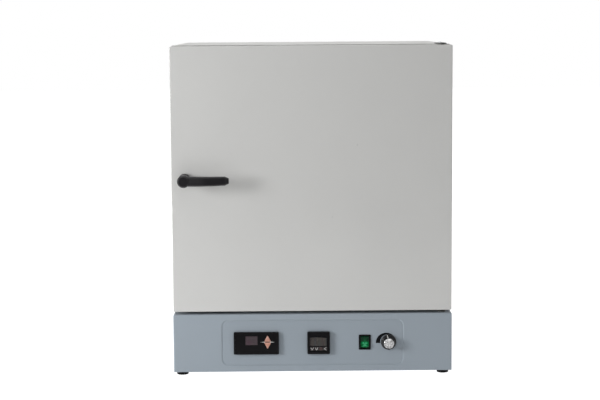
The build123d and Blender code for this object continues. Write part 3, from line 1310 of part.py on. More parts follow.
def handle_lever():
    """The lever: a turned boss, and a grip lofted out of it along a bow to a rounded tip."""
    lift = ROSE_THICKNESS + KEY_CLEARANCE
    crown = HANDLE_REACH - BOSS_DROP
    waist = BOSS_RADIUS - 2.5
    boss = turned(
        (SPINDLE_RADIUS, lift),
        (BOSS_RADIUS, lift),
        (BOSS_RADIUS, lift + 4),
        (waist, lift + 14),
        (waist, crown - 18),
        (BOSS_RADIUS, crown - 12),
        (BOSS_RADIUS, crown - 3),
        (BOSS_RADIUS - 3, crown),
        (0, crown),
        (0, SPINDLE_REACH),
        (SPINDLE_RADIUS, SPINDLE_REACH),
    )
    rounding = 4.6
    last = lever_section(HANDLE_LENGTH - 8, 7.6, 18.6, 11.8, rounding, 0.8)
    grip = loft(
        [
            lever_section(0, 12.5, 20.0, 15, rounding, 0.2),
            lever_section(18, 10.2, 20.6, 14, rounding),
            lever_section(40, 6.9, 20.2, 12.8, rounding, 0.1),
            lever_section(64, 6.2, 19.6, 12.2, rounding, 0.4),
            last,
        ]
    )
    tip = lever_section(HANDLE_LENGTH, 8.8, 11.0, 6.5, 3.1, 0.9)
    return face_front(boss, HANDLE_X, 0, LATCH_Z) + grip + loft([last, tip])


NODES = {
    "outer_casing": outer_casing,
    "casing_floor": casing_floor,
    "front_frame": front_frame,
    "inner_rear_panel": inner_rear_panel,
    "rear_cover": rear_cover,
    "panel_screws": panel_screws,
    "chamber_liner": chamber_liner,
    "chamber_insulation": chamber_insulation,
    "chamber_gasket": chamber_gasket,
    "shelf_rack_left": lambda: shelf_rack(-1),
    "shelf_rack_right": lambda: shelf_rack(1),
    "shelf_lower": lambda: wire_shelf(1),
    "shelf_upper": lambda: wire_shelf(3),
    "rear_baffle": rear_baffle,
    "baffle_standoffs": baffle_standoffs,
    "heater_element": heater_element,
    "temperature_probe": temperature_probe,
    "fan_motor": fan_motor,
    "fan_shaft": fan_shaft,
    "fan_wheel": fan_wheel,
    "vent_duct": vent_duct,
    "vent_cap": vent_cap,
    "vent_rosette": vent_rosette,
    "plinth_shell": plinth_shell,
    "plinth_floor": plinth_floor,
    "feet": feet,
    "foot_screws": foot_screws,
    "control_overlay": control_overlay,
    "controller_housing": controller_housing,
    "controller_window": controller_window,
    "controller_key_up": lambda: controller_key(1),
    "controller_key_down": lambda: controller_key(-1),
    "timer_housing": timer_housing,
    "timer_window": timer_window,
    "switch_housing": switch_housing,
    "switch_rocker": switch_rocker,
    "speed_potentiometer": speed_potentiometer,
    "potentiometer_shaft": potentiometer_shaft,
    "knob_skirt": knob_skirt,
    "knob_cap": knob_cap,
    "solid_state_relay": solid_state_relay,
    "terminal_block": terminal_block,
    "mains_inlet": mains_inlet,
    "inlet_pins": inlet_pins,
    "fuse_holder": fuse_holder,
    "hinge_bracket_upper": hinge_bracket_upper,
    "hinge_bracket_lower": hinge_bracket_lower,
    "hinge_bushes": hinge_bushes,
    "keeper_plate": keeper_plate,
    "door_skin": door_skin,
    "door_inner_panel": door_inner_panel,
    "door_insulation": door_insulation,
    "spindle_sleeve": spindle_sleeve,
    "handle_spindle": handle_spindle,
    "handle_lever": handle_lever,
    "latch_tongue": latch_tongue,
}
for index in range(TIMER_KEYS):
    NODES[f"timer_key_{index + 1}"] = lambda index=index: timer_key(index)

os.makedirs("parts", exist_ok=True)
for name, make in NODES.items():
    export_step(make(), f"parts/{name}.step")
print(len(NODES), "nodes; door face at y", round(DOOR_FACE_Y, 3), "mm")
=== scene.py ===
# %% [markdown]
# # A bench drying oven
# A light grey steel cabinet with one side-hung door stands on a blue-grey control plinth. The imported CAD
# model gives every rigid piece its shape and place. This file gives each of them a finish, and adds the
# small things that a maker prints, presses or screws on. Everything is in metres.

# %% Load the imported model
import json
from math import cos, pi, radians, sin

import bmesh
import bpy
from mathutils import Matrix, Vector


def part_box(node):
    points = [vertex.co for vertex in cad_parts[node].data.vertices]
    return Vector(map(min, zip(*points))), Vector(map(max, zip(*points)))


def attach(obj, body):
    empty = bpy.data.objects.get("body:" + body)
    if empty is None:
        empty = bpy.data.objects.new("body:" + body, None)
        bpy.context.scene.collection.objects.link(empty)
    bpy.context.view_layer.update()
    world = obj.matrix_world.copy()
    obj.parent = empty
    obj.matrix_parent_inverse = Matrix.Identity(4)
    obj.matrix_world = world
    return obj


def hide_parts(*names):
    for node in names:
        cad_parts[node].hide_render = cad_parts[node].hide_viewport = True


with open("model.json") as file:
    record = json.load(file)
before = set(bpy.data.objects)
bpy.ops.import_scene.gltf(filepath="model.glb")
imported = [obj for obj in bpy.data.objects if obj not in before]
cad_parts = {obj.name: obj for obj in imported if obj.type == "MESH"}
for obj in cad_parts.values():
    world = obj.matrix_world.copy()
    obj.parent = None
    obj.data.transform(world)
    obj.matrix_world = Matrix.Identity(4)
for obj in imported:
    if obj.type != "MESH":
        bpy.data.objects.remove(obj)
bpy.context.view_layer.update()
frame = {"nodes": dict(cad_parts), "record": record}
nodes = frame["nodes"]

# %% [markdown]
# ## The camera
# The photograph was taken from a little above the oven's top, almost straight on, with a long lens. A camera
# can be aimed with a Track To constraint, but here its three turns are known, so the matrix is built from
# them: right and down in the picture, and forward into it.

# %% The camera
CAMERA_PLACE = Vector((-0.0448, -3.4974, 0.7477))
CAMERA_YAW = 0.00613
CAMERA_PITCH = 0.1142
CAMERA_ROLL = 0.0070
CAMERA_LENS = 92.305
CAMERA_REACH = 60


def placed(name, data):
    """A new object in the scene."""
    made = bpy.data.objects.new(name, data)
    bpy.context.scene.collection.objects.link(made)
    return made


forward = Vector((
    sin(CAMERA_YAW) * cos(CAMERA_PITCH),
    cos(CAMERA_YAW) * cos(CAMERA_PITCH),
    -sin(CAMERA_PITCH),
))
level = Vector((cos(CAMERA_YAW), -sin(CAMERA_YAW), 0))
under = forward.cross(level)
picture_right = cos(CAMERA_ROLL) * level + sin(CAMERA_ROLL) * under
picture_down = cos(CAMERA_ROLL) * under - sin(CAMERA_ROLL) * level

camera = placed("camera", bpy.data.cameras.new("camera"))
camera.data.lens = CAMERA_LENS
camera.data.clip_end = CAMERA_REACH
turn = Matrix((picture_right, -picture_down, -forward)).transposed()
camera.matrix_world = Matrix.Translation(CAMERA_PLACE) @ turn.to_4x4()
bpy.context.scene.camera = camera
bpy.context.scene.view_settings.view_transform = "Standard"

# %% [markdown]
# ## Nodes without tears
# Shader and geometry trees are both made of nodes, sockets and links. One helper adds a node, sets what is
# on it and feeds its inputs, whether from a plain value or from another node's socket. The short ones after
# it name the few nodes that nearly every tree here is made of. A socket knows its tree, so most of them need
# not be told which tree they work in.

# %% Helpers for any node tree


def put(tree, kind, inputs=None, **settings):
    """A new node. Inputs are named or numbered, and take a value or another node's socket."""
    made = tree.nodes.new(kind)
    for name, value in settings.items():
        setattr(made, name, value)
    for key, value in (inputs or {}).items():
        if isinstance(value, bpy.types.NodeSocket):
            tree.links.new(value, made.inputs[key])
        else:
            made.inputs[key].default_value = value
    return made


def tree_of(*values):
    """The tree that the first socket among these values belongs to."""
    return next(value.id_data for value in values if isinstance(value, bpy.types.NodeSocket))


def calc(operation, *values):
    """Arithmetic on one to three values."""
    return put(tree_of(*values), "ShaderNodeMath", dict(enumerate(values)), operation=operation).outputs[0]


def plus(first, second):
    """A sum."""
    return calc("ADD", first, second)


def times(first, second):
    """A product."""
    return calc("MULTIPLY", first, second)


def between(value, low, high, start=0.3, end=0.7):
    """Stretches the part of a value from start to end over low to high, and stops there."""
    span = {"Value": value, "From Min": start, "From Max": end, "To Min": low, "To Max": high}
    return put(tree_of(value), "ShaderNodeMapRange", span).outputs[0]


def split(vector):
    """The X, Y and Z of a vector."""
    return put(tree_of(vector), "ShaderNodeSeparateXYZ", {0: vector}).outputs


def joined(*values):
    """A vector made of X, Y and Z."""
    return put(tree_of(*values), "ShaderNodeCombineXYZ", dict(enumerate(values))).outputs[0]


def here(tree, stretch=(1, 1, 1), middle=(0, 0, 0)):
    """A place on the object, measured from a middle and stretched along each axis."""
    place = put(tree, "ShaderNodeTexCoord").outputs["Object"]
    moved = put(tree, "ShaderNodeVectorMath", {0: place, 1: middle}, operation="SUBTRACT").outputs[0]
    return put(tree, "ShaderNodeVectorMath", {0: moved, 1: stretch}, operation="MULTIPLY").outputs[0]


def bare_tree(owner):
    """The emptied shader tree of a world or a material."""
    owner.use_nodes = True
    owner.node_tree.nodes.clear()
    return owner.node_tree


# %% [markdown]
# ## The studio
# The floor and the room behind are plain white, as in a product picture. White that comes from lamps would
# bleach the pale paint, so the room is white only to the rays that look at it: those from the camera, and
# those that a mirror or a pane sends on. In front, where the photographer stands, the room is dark, and that
# is what keeps black plastic black.

# %% The room
ROOM_LIGHT = 0.355
DARK_SIDE = 0.12
DARK_UP_TO, WHITE_FROM = -0.85, -0.45  # how far a mirrored ray points to the front (-1) or the back (1)
WHITE = (1, 1, 1, 1)

world = bpy.data.worlds.new("studio")
bpy.context.scene.world = world
tree = bare_tree(world)
ray = put(tree, "ShaderNodeLightPath").outputs
looked_at = calc("MAXIMUM", ray["Is Camera Ray"], ray["Is Transmission Ray"])
ahead = split(put(tree, "ShaderNodeTexCoord").outputs["Generated"])["Y"]
mirrored = between(ahead, DARK_SIDE, 1.0, DARK_UP_TO, WHITE_FROM)
strength = put(tree, "ShaderNodeMix", {0: ray["Is Glossy Ray"], 2: ROOM_LIGHT, 3: mirrored}).outputs[0]
strength = put(tree, "ShaderNodeMix", {0: looked_at, 2: strength, 3: 1.0}).outputs[0]
light = put(tree, "ShaderNodeBackground", {"Color": WHITE, "Strength": strength})
put(tree, "ShaderNodeOutputWorld", {0: light.outputs[0]})
print("the room gives", ROOM_LIGHT, "of white light, and shows", DARK_SIDE, "in front")

# %% [markdown]
# The floor is matt and takes the oven's real shadow. A lit matt floor is never quite as white as the room, so
# it also glows a little, but only for the eye: the glow lights nothing. Where the front of the oven would
# mirror the floor before it, the floor is as dark as the room there.

# %% The floor
FLOOR_HALF = 14
FLOOR_PAINT = (0.86, 0.86, 0.86, 1)
FLOOR_GLOW = 0.85
DARK_FLOOR_TO, LIT_FLOOR_FROM = -1.0, -0.36  # on the floor, in Y

grid = bmesh.new()
bmesh.ops.create_grid(grid, x_segments=1, y_segments=1, size=FLOOR_HALF)
floor_mesh = bpy.data.meshes.new("floor")
grid.to_mesh(floor_mesh)
grid.free()
floor = placed("floor", floor_mesh)
floor_white = bpy.data.materials.new("floor_white")
floor_mesh.materials.append(floor_white)

tree = bare_tree(floor_white)
ray = put(tree, "ShaderNodeLightPath").outputs
looked_at = calc("MAXIMUM", ray["Is Camera Ray"], ray["Is Transmission Ray"])
looked_at = calc("MAXIMUM", looked_at, ray["Is Glossy Ray"])
matt = put(tree, "ShaderNodeBsdfDiffuse", {"Color": FLOOR_PAINT}).outputs[0]
glow = put(tree, "ShaderNodeEmission", {"Color": WHITE, "Strength": FLOOR_GLOW}).outputs[0]
both = put(tree, "ShaderNodeAddShader", {0: matt, 1: glow}).outputs[0]
seen = put(tree, "ShaderNodeMixShader", {0: looked_at, 1: matt, 2: both}).outputs[0]
in_front = between(split(here(tree))["Y"], 1.0, 0.0, DARK_FLOOR_TO, LIT_FLOOR_FROM)
in_the_dark = times(ray["Is Glossy Ray"], in_front)
unlit = put(tree, "ShaderNodeEmission", {"Color": WHITE, "Strength": DARK_SIDE}).outputs[0]
seen = put(tree, "ShaderNodeMixShader", {0: in_the_dark, 1: seen, 2: unlit}).outputs[0]
put(tree, "ShaderNodeOutputMaterial", {0: seen})
print("floor", 2 * FLOOR_HALF, "m wide")

# %% [markdown]
# The light comes from the left, from a large soft lamp at a grazing angle, which lays the handle's shadow to
# the right. A second lamp above lights the top, two low ones keep the right side and the back from going
# dark, and a faint one shines down on the floor in front, whose bounce lifts the plinth. That last one must
# not be mirrored in the plastic. Blender hides a new lamp from the camera by itself.

# %% The lamps
LAMPS = [  # name, place, the point it faces, width, height, watts
    ("key_lamp", (-2.3, -1.5, 0.75), (-0.1, -0.27, 0.4), 0.7, 1.0, 43.5),
    ("top_lamp", (-0.3, 0.1, 2.4), (0, 0.1, 0.4), 1.8, 1.6, 13.7),
    ("right_lamp", (2.2, 0.9, 0.36), (0.3, 0.1, 0.36), 1.0, 0.5, 11),
    ("rear_lamp", (-0.6, 2.8, 0.36), (0, 0.3, 0.36), 1.6, 0.5, 16),
    ("floor_lamp", (0.1, -0.75, 0.35), (0.1, -0.75, 0), 1.4, 0.3, 0.51),
]
for name, place, target, width, height, power in LAMPS:
    light = bpy.data.lights.new(name, "AREA")
    light.shape = "RECTANGLE"
    light.size = width
    light.size_y = height
    light.energy = power
    lamp = placed(name, light)
    aim = (Vector(target) - Vector(place)).to_track_quat("-Z", "Y")
    lamp.matrix_world = Matrix.Translation(place) @ aim.to_matrix().to_4x4()
    lamp.visible_glossy = name != "floor_lamp"
print(len(LAMPS), "lamps,", round(sum(row[-1] for row in LAMPS), 1), "W in all")

# %% [markdown]
# The key lamp stands so far to the left that it would bleach the oven's left side, which it meets full on. A
# photographer holds a card of thin gauze beside that side. It is seen by nothing but the light that it dims.

# %% The gauze card
CARD_X, CARD_FRONT, CARD_BACK, CARD_TOP = -0.37, -0.29, 0.6, 0.7
GAUZE = (0.5, 0.5, 0.5, 1)

edge = [(CARD_FRONT, 0.0), (CARD_BACK, 0.0), (CARD_BACK, CARD_TOP), (CARD_FRONT, CARD_TOP)]
card_mesh = bpy.data.meshes.new("gauze_card")
card_mesh.from_pydata([(CARD_X, y, z) for y, z in edge], [], [(0, 1, 2, 3)])
card = placed("gauze_card", card_mesh)
for way in ("camera", "diffuse", "glossy", "transmission", "volume_scatter"):
    setattr(card, "visible_" + way, False)
gauze = bpy.data.materials.new("gauze")
card_mesh.materials.append(gauze)
tree = bare_tree(gauze)
thin = put(tree, "ShaderNodeBsdfTransparent", {"Color": GAUZE}).outputs[0]
put(tree, "ShaderNodeOutputMaterial", {0: thin})
print("the card lets", GAUZE[0], "of the light through")

# %% [markdown]
# ## Colours, groups and materials
# Colours are easiest to pick on screen, but a shader works in linear light, so they are converted. A finish
# is a Principled shader fed by a group: an effect with its own sockets, which several finishes share.

# %% Helpers for colours and surfaces


def srgb(red, green, blue):
    """A colour as picked on screen, 0 to 255, in the linear values that a shader takes."""
    shares = [c / 255 for c in (red, green, blue)]
    return (*(((c + 0.055) / 1.055) ** 2.4 if c > 0.0393 else c / 12.92 for c in shares), 1)


def tinted(share, first, second):
    """The first colour, with a share of the second mixed in."""
    return put(tree_of(share), "ShaderNodeMix", {0: share, 6: first, 7: second}, data_type="RGBA").outputs[2]


def scaled(colour, factor):
    """A colour made lighter or darker by a factor."""
    inputs = {0: colour, "Scale": factor}
    return put(tree_of(colour), "ShaderNodeVectorMath", inputs, operation="SCALE").outputs[0]


def noise(tree, scale, detail=2.0, place=None):
    """Soft random values round a half, with lumps of one divided by scale, in metres."""
    place = place or here(tree)
    return put(tree, "ShaderNodeTexNoise", {"Vector": place, "Scale": scale, "Detail": detail}).outputs["Fac"]


def bumped(height, depth, normal=None):
    """A normal that leans with a height map, whose full range is a depth in metres."""
    inputs = {"Height": height, "Distance": depth, "Strength": 1.0}
    if normal:
        inputs["Normal"] = normal
    return put(tree_of(height), "ShaderNodeBump", inputs).outputs[0]


# %% Helpers for groups and materials
SOCKETS = {"Colour": "Color", "Middle": "Vector", "Stretch": "Vector", "Normal": "Vector"}
FINISHES = {}


def effect(name, outputs=("Colour", "Roughness", "Normal"), **inputs):
    """A shader group: its tree, the sockets that come in and the sockets that go out."""
    tree = bpy.data.node_groups.new(name, "ShaderNodeTree")
    for way, sockets in (("INPUT", inputs), ("OUTPUT", outputs)):
        for socket in sockets:
            kind = "NodeSocket" + SOCKETS.get(socket, "Float")
            made = tree.interface.new_socket(socket, in_out=way, socket_type=kind)
            if way == "INPUT":
                made.default_value = inputs[socket]
    return tree, put(tree, "NodeGroupInput").outputs, put(tree, "NodeGroupOutput").inputs


def feed(sockets, **values):
    """Links values to the named inputs of a shader, or to what a group gives out."""
    for name, value in values.items():
        tree_of(value).links.new(value, sockets[name.replace("_", " ")])


def finish(name, **constants):
    """A new material's tree and its Principled shader's inputs. Constants are set on the shader."""
    made = FINISHES[name] = bpy.data.materials.new(name)
    made.use_nodes = True
    shader = made.node_tree.nodes["Principled BSDF"].inputs
    for key, value in constants.items():
        shader[key.replace("_", " ").title().replace("Ior", "IOR")].default_value = value
    return made.node_tree, shader


def through(tree, group, shader, values):
    """Puts a group in a material, gives it its values, and feeds its outputs to the shader's inputs."""
    made = put(tree, "ShaderNodeGroup", values, node_tree=group)
    for out in made.outputs:
        name = {"Colour": "Base Color"}.get(out.name, out.name)
        if name in shader:
            tree.links.new(out, shader[name])
    return made.outputs


def coated(name, group, values, **constants):
    """A finish that is one effect and nothing else."""
    tree, shader = finish(name, **constants)
    through(tree, group, shader, values)


# %% [markdown]
# ## Effects that several finishes share
# Every real edge is a little round, and it is where paint wears thin first. The Bevel node finds edges while
# the picture is rendered, so the CAD meshes stay as they are. Where its rounded normal leaves the true one,
# the surface is near an edge, and noise breaks that mask up, because wear is never even.

# %% Rounded, worn edges
worn_edge, given, result = effect("worn_edge", ("Mask", "Normal"), Radius=0.0008)
rounded = put(worn_edge, "ShaderNodeBevel", {"Radius": given["Radius"]}, samples=4).outputs[0]
true_normal = put(worn_edge, "ShaderNodeNewGeometry").outputs["Normal"]
alike = put(worn_edge, "ShaderNodeVectorMath", {0: rounded, 1: true_normal}, operation="DOT_PRODUCT")
near_edge = between(alike.outputs["Value"], 1.0, 0.0, 0.75, 0.985)
uneven = between(noise(worn_edge, 160, 4), 0.0, 1.0, 0.4, 0.65)
feed(result, Mask=times(near_edge, uneven), Normal=rounded)


def edges_in(tree, radius):
    """The worn-edge effect inside another tree: its mask and its rounded normal."""
    return put(tree, "ShaderNodeGroup", {"Radius": radius}, node_tree=worn_edge).outputs


print("worn_edge", len(worn_edge.nodes), "nodes")

# %% [markdown]
# Powder paint melts into a fine orange peel of hills about a millimetre across. Under it the colour drifts by
# a percent or two, hands leave areas with less gloss, and dust settles on what faces up.

# %% Powder paint
PLAIN = (0.6, 0.6, 0.6, 1)
THIN_PAINT = srgb(236, 236, 232)
DUST = srgb(196, 190, 178)

powder_paint, given, result = effect(
    "powder_paint", Colour=PLAIN, Drift=0.02, Peel=0.00003, Gloss=0.42, Dust=0.15
)
tree = powder_paint
drift = times(given["Drift"], between(noise(tree, 6, 3), -1, 1))
speckle = times(given["Drift"], between(noise(tree, 900, 1), -0.5, 0.5))
ground = scaled(given["Colour"], plus(1.0, plus(drift, speckle)))
edges = edges_in(tree, 0.0007)
ground = tinted(times(edges["Mask"], 0.12), ground, THIN_PAINT)
upward = split(put(tree, "ShaderNodeNewGeometry").outputs["Normal"])["Z"]
patches = between(noise(tree, 38, 6), 0.1, 1, 0.35, 0.75)
settled = times(between(upward, 0, 1, 0.6, 0.95), patches)
settled = times(settled, given["Dust"])
handled = between(noise(tree, 11, 3), -0.05, 0.07)
rough = plus(plus(given["Gloss"], handled), settled)
peel = bumped(noise(tree, 650, 2), given["Peel"], edges["Normal"])
feed(result, Colour=tinted(settled, ground, DUST), Roughness=rough, Normal=peel)
print("powder_paint", len(tree.nodes), "nodes")

# %% [markdown]
# Sheet steel and wire are drawn or ground in one direction. Noise that is stretched a hundredfold along the
# grain makes the fine scratches, and a second, wider one the bands that a worn grinding belt leaves.

# %% Drawn grain
WORN_METAL = (0.85, 0.85, 0.85, 1)

drawn_grain, given, result = effect(
    "drawn_grain", Colour=PLAIN, Stretch=(12, 900, 900), Depth=0.00001, Gloss=0.3, Smears=0.03
)
tree = drawn_grain
along = here(tree, given["Stretch"])
scratches = noise(tree, 1.0, 3, along)
bands = noise(tree, 0.3, 2, along)
shade = plus(between(scratches, 0.9, 1.05), between(bands, -0.02, 0.02))
edges = edges_in(tree, 0.0004)
metal = tinted(times(edges["Mask"], 0.3), scaled(given["Colour"], shade), WORN_METAL)
smeared = times(given["Smears"], between(noise(tree, 9, 3), -0.5, 1.0))
rough = plus(given["Gloss"], plus(smeared, between(scratches, -0.05, 0.05)))
grain = bumped(scratches, given["Depth"], edges["Normal"])
feed(result, Colour=metal, Roughness=rough, Normal=grain)
print("drawn_grain", len(tree.nodes), "nodes")

# %% [markdown]
# A moulded part copies the etched steel of its mould: a dull, pebbled skin. Voronoi cells make the pebbles,
# because they touch without gaps. The edges rub to a lighter grey.

# %% Moulded skin
RUBBED_PLASTIC = srgb(150, 150, 152)

moulded_skin, given, result = effect(
    "moulded_skin", Colour=PLAIN, Pebble=0.00002, Fineness=2600.0, Gloss=0.4, Rub=0.05
)
tree = moulded_skin
cells = {"Vector": here(tree), "Scale": given["Fineness"]}
pebbles = put(tree, "ShaderNodeTexVoronoi", cells, feature="SMOOTH_F1").outputs["Distance"]
edges = edges_in(tree, 0.0005)
cloudy = between(noise(tree, 60, 4), 0.85, 1.15)
skin = scaled(given["Colour"], plus(cloudy, between(pebbles, 0.1, -0.1, 0, 0.8)))
rubbed = times(edges["Mask"], given["Rub"])
rough = plus(given["Gloss"], between(noise(tree, 34, 5), -0.06, 0.08))
grain = bumped(pebbles, given["Pebble"], edges["Normal"])
feed(result, Colour=tinted(rubbed, skin, RUBBED_PLASTIC), Roughness=rough, Normal=grain)
print("moulded_skin", len(tree.nodes), "nodes")

# %% [markdown]
# A lathe leaves rings round its axis. A sine of the distance from the axis makes the rings. A ring would
# catch the light only where it faces the lamp, so bright and dark sectors are painted into the colour:
# painted highlight and painted shade. For the sectors, noise is read on a circle, so that it closes on
# itself.

# %% Turned rings and painted sectors


def reach_of(first, second):
    """How far a place is from an axis, from its two distances across it."""
    return calc("SQRT", plus(times(first, first), times(second, second)))


rings_and_painted_sectors, given, result = effect(
    "rings_and_painted_sectors", Colour=PLAIN, Middle=(0, 0, 0), Pitch=0.0003, Depth=0.00001, Gloss=0.3, Sectors=0.3
)
tree = rings_and_painted_sectors
arm = split(here(tree, middle=given["Middle"]))
reach = reach_of(arm["X"], arm["Z"])
rings = calc("SINE", times(calc("DIVIDE", reach, given["Pitch"]), 2 * pi))
angle = calc("ARCTAN2", arm["Z"], arm["X"])
circle = joined(calc("COSINE", angle), calc("SINE", angle), times(reach, 90))
# Painted highlight and shade: the sectors lighten and darken the colour where a ring would catch or miss the
# lamp.
painted_sectors = between(noise(tree, 2.3, 3, circle), -1.0, 1.0, 0.35, 0.65)
shade = times(given["Sectors"], painted_sectors)
metal = scaled(given["Colour"], plus(0.9, shade))
rough = plus(given["Gloss"], times(shade, -0.3))
grain = bumped(rings, given["Depth"], edges_in(tree, 0.0002)["Normal"])
feed(result, Colour=metal, Roughness=rough, Normal=grain)
print("rings_and_painted_sectors", len(tree.nodes), "nodes")

# %% [markdown]
# ## The paints
# The casing's grey and the plinth's blue-grey are the same powder paint in two colours. The field on the
# plinth is lined with a film, which is smoother than the paint round it, and the hinge brackets are black.

# %% Casing, plinth and brackets
CASING = dict(Colour=srgb(211, 211, 209), Drift=0.012, Gloss=0.42)
PAINTS = [  # name, specular, colour, drift, peel, gloss, dust
    ("plinth_paint", 0.4, srgb(156, 166, 175), 0.015, 0.00004, 0.4, 0.15),
    ("overlay_film", 0.35, srgb(155, 165, 174), 0.008, 0.000006, 0.34, 0.05),
    ("bracket_black", 0.4, srgb(92, 93, 90), 0.1, 0.00003, 0.4, 0.3),
    ("motor_enamel", 0.4, srgb(44, 45, 48), 0.15, 0.00012, 0.45, 0.5),
]
coated("casing_paint", powder_paint, CASING, specular_ior_level=0.4)
for name, specular, colour, drift, peel, gloss, dust in PAINTS:
    values = dict(Colour=colour, Drift=drift, Peel=peel, Gloss=gloss, Dust=dust)
    coated(name, powder_paint, values, specular_ior_level=specular)
print("paints:", *FINISHES)

# %% [markdown]
# The door wears the casing's paint, but something has struck it twice. Within a short way of each of those
# two places the colour turns to that of the primer.

# %% The door
DOOR_SPECKS = [((0.0964, -0.2744, 0.4935), 0.0011), ((0.0432, -0.2744, 0.3415), 0.0009)]
SPECK_CORE, SPECK_DEPTH = 0.7, 0.55
PRIMER = srgb(92, 90, 86)

tree, shader = finish("door_paint", specular_ior_level=0.4)
out = through(tree, powder_paint, shader, CASING)
struck = 0.0
for speck, size in DOOR_SPECKS:
    away = put(tree, "ShaderNodeVectorMath", {0: here(tree, middle=speck)}, operation="LENGTH")
    inside = between(away.outputs["Value"], 1.0, 0.0, size * SPECK_CORE, size)
    struck = plus(struck, inside)
chipped = tinted(times(struck, SPECK_DEPTH), out["Colour"], PRIMER)
feed(shader, Base_Color=chipped)
print(len(DOOR_SPECKS), "specks on the door")

# %% [markdown]
# ## The metals
# The chamber, its front frame, the baffle and the door's inner face are ground stainless steel; shelves and
# racks are bright drawn wire. One effect serves them all: only the direction of its stretch changes, across,
# upright or inward, with the way that each sheet was rolled.

# %% Drawn and ground metals
STAINLESS = (0.66, 0.66, 0.65, 1)
METALS = {
    "stainless_across": dict(Colour=STAINLESS, Stretch=(9, 900, 900), Gloss=0.34),
    "stainless_upright": dict(Colour=STAINLESS, Stretch=(900, 900, 9), Gloss=0.34),
    "stainless_inward": dict(Colour=STAINLESS, Stretch=(700, 9, 700), Gloss=0.36, Smears=0.05),
    "rod_steel": dict(Colour=(0.66, 0.66, 0.67, 1), Stretch=(500, 60, 500), Gloss=0.16, Smears=0.1),
    "aluminium_fins": dict(Colour=(0.7, 0.7, 0.71, 1), Stretch=(800, 14, 800), Gloss=0.36),
    "brass": dict(Colour=(0.62, 0.45, 0.18, 1), Stretch=(900, 20, 900), Gloss=0.28),
}
for name, values in METALS.items():
    coated(name, drawn_grain, values, metallic=1.0)
print("metals:", *METALS)

# %% [markdown]
# What nobody sees is zinc-plated. Rolled sheet shows the flower-like crystals of hot dipping: each Voronoi
# cell has a random colour, which gives it a tone and a roughness of its own. Small turned pieces have the
# faint blue and straw tints of passivation.

# %% Zinc
CRYSTAL_DARK, CRYSTAL_LIGHT = (0.42, 0.44, 0.47, 1), (0.6, 0.61, 0.63, 1)
STRAW = (0.62, 0.56, 0.4, 1)

tree, shader = finish("zinc_sheet", metallic=1.0)
cells = {"Vector": here(tree), "Scale": 90.0, "Randomness": 1.0}
crystals = put(tree, "ShaderNodeTexVoronoi", cells).outputs["Color"]
tone = put(tree, "ShaderNodeSeparateColor", {0: crystals}).outputs
sheet = tinted(between(tone[0], 0, 1, 0, 1), CRYSTAL_DARK, CRYSTAL_LIGHT)
frost = bumped(noise(tree, 420, 3), 0.00002)
feed(shader, Base_Color=sheet, Roughness=between(tone[1], 0.28, 0.52, 0, 1), Normal=frost)

tree, shader = finish("zinc_turned", metallic=1.0)
plating = dict(Colour=(0.58, 0.6, 0.63, 1), Stretch=(700, 700, 700), Depth=0.000006, Gloss=0.26)
out = through(tree, drawn_grain, shader, plating)
tint = between(noise(tree, 55, 3), 0, 0.35, 0.45, 0.75)
feed(shader, Base_Color=tinted(tint, out["Colour"], STRAW))
print("zinc:", *(name for name in FINISHES if name.startswith("zinc")))

# %% [markdown]
# A heater that has glowed carries its history: brown where it stayed coolest, blue and grey-black where it
# was hottest. A colour ramp over slow noise gives those tints, with a scale of fine pits.

# %% The heater


def ramped(value, stops):
    """A colour ramp over a value; the stops are (position, colour) pairs."""
    made = put(tree_of(value), "ShaderNodeValToRGB", {0: value})
    ends = made.color_ramp.elements
    for index, (position, colour) in enumerate(stops):
        stop = ends[index] if index < 2 else ends.new(position)
        stop.position, stop.color = position, colour
    return made.outputs[0]


HEAT_TINTS = [(0.35, (0.07, 0.06, 0.055, 1)), (0.68, (0.1, 0.11, 0.14, 1)), (0.5, (0.16, 0.11, 0.07, 1))]

tree, shader = finish("heater_steel", metallic=0.85)
tints = ramped(noise(tree, 24, 4), HEAT_TINTS)
pits = noise(tree, 1100, 3)
feed(shader, Base_Color=tints, Roughness=between(pits, 0.4, 0.65), Normal=bumped(pits, 0.00005))
print("heater:", len(HEAT_TINTS), "tints")

# %% [markdown]
# Mineral wool is felted from long fibres. One noise is drawn out into hairs, one is twisted into the swirls
# in which the hairs lie, and their product is colour, gloss and height at once.

# %% The wool
WOOL_DARK, WOOL_LIGHT = srgb(150, 128, 74), srgb(206, 192, 146)

tree, shader = finish("mineral_wool", specular_ior_level=0.1, sheen_weight=0.2)
twisted = {"Vector": here(tree), "Scale": 60.0, "Detail": 3.0, "Distortion": 2.5}
swirl = put(tree, "ShaderNodeTexNoise", twisted).outputs["Fac"]
hairs = noise(tree, 1.0, 3, here(tree, (120, 1400, 1400)))
strands = times(between(hairs, 0, 1), between(swirl, 0.4, 1))
wool = tinted(strands, WOOL_DARK, WOOL_LIGHT)
rough = between(strands, 0.95, 0.75, 0, 1)
feed(shader, Base_Color=wool, Roughness=rough, Normal=bumped(strands, 0.0012))
print("wool:", len(tree.nodes), "nodes")

# %% [markdown]
# ## Plastics and rubber
# The black instrument frames are matt, the lever and the knob have a satin gloss, and the feet are dull
# rubber. All are moulded, so they share one skin and differ in its colour, pebble and gloss. The inks that
# are printed on them are the smoothest of all, and don't rub off at the edges.

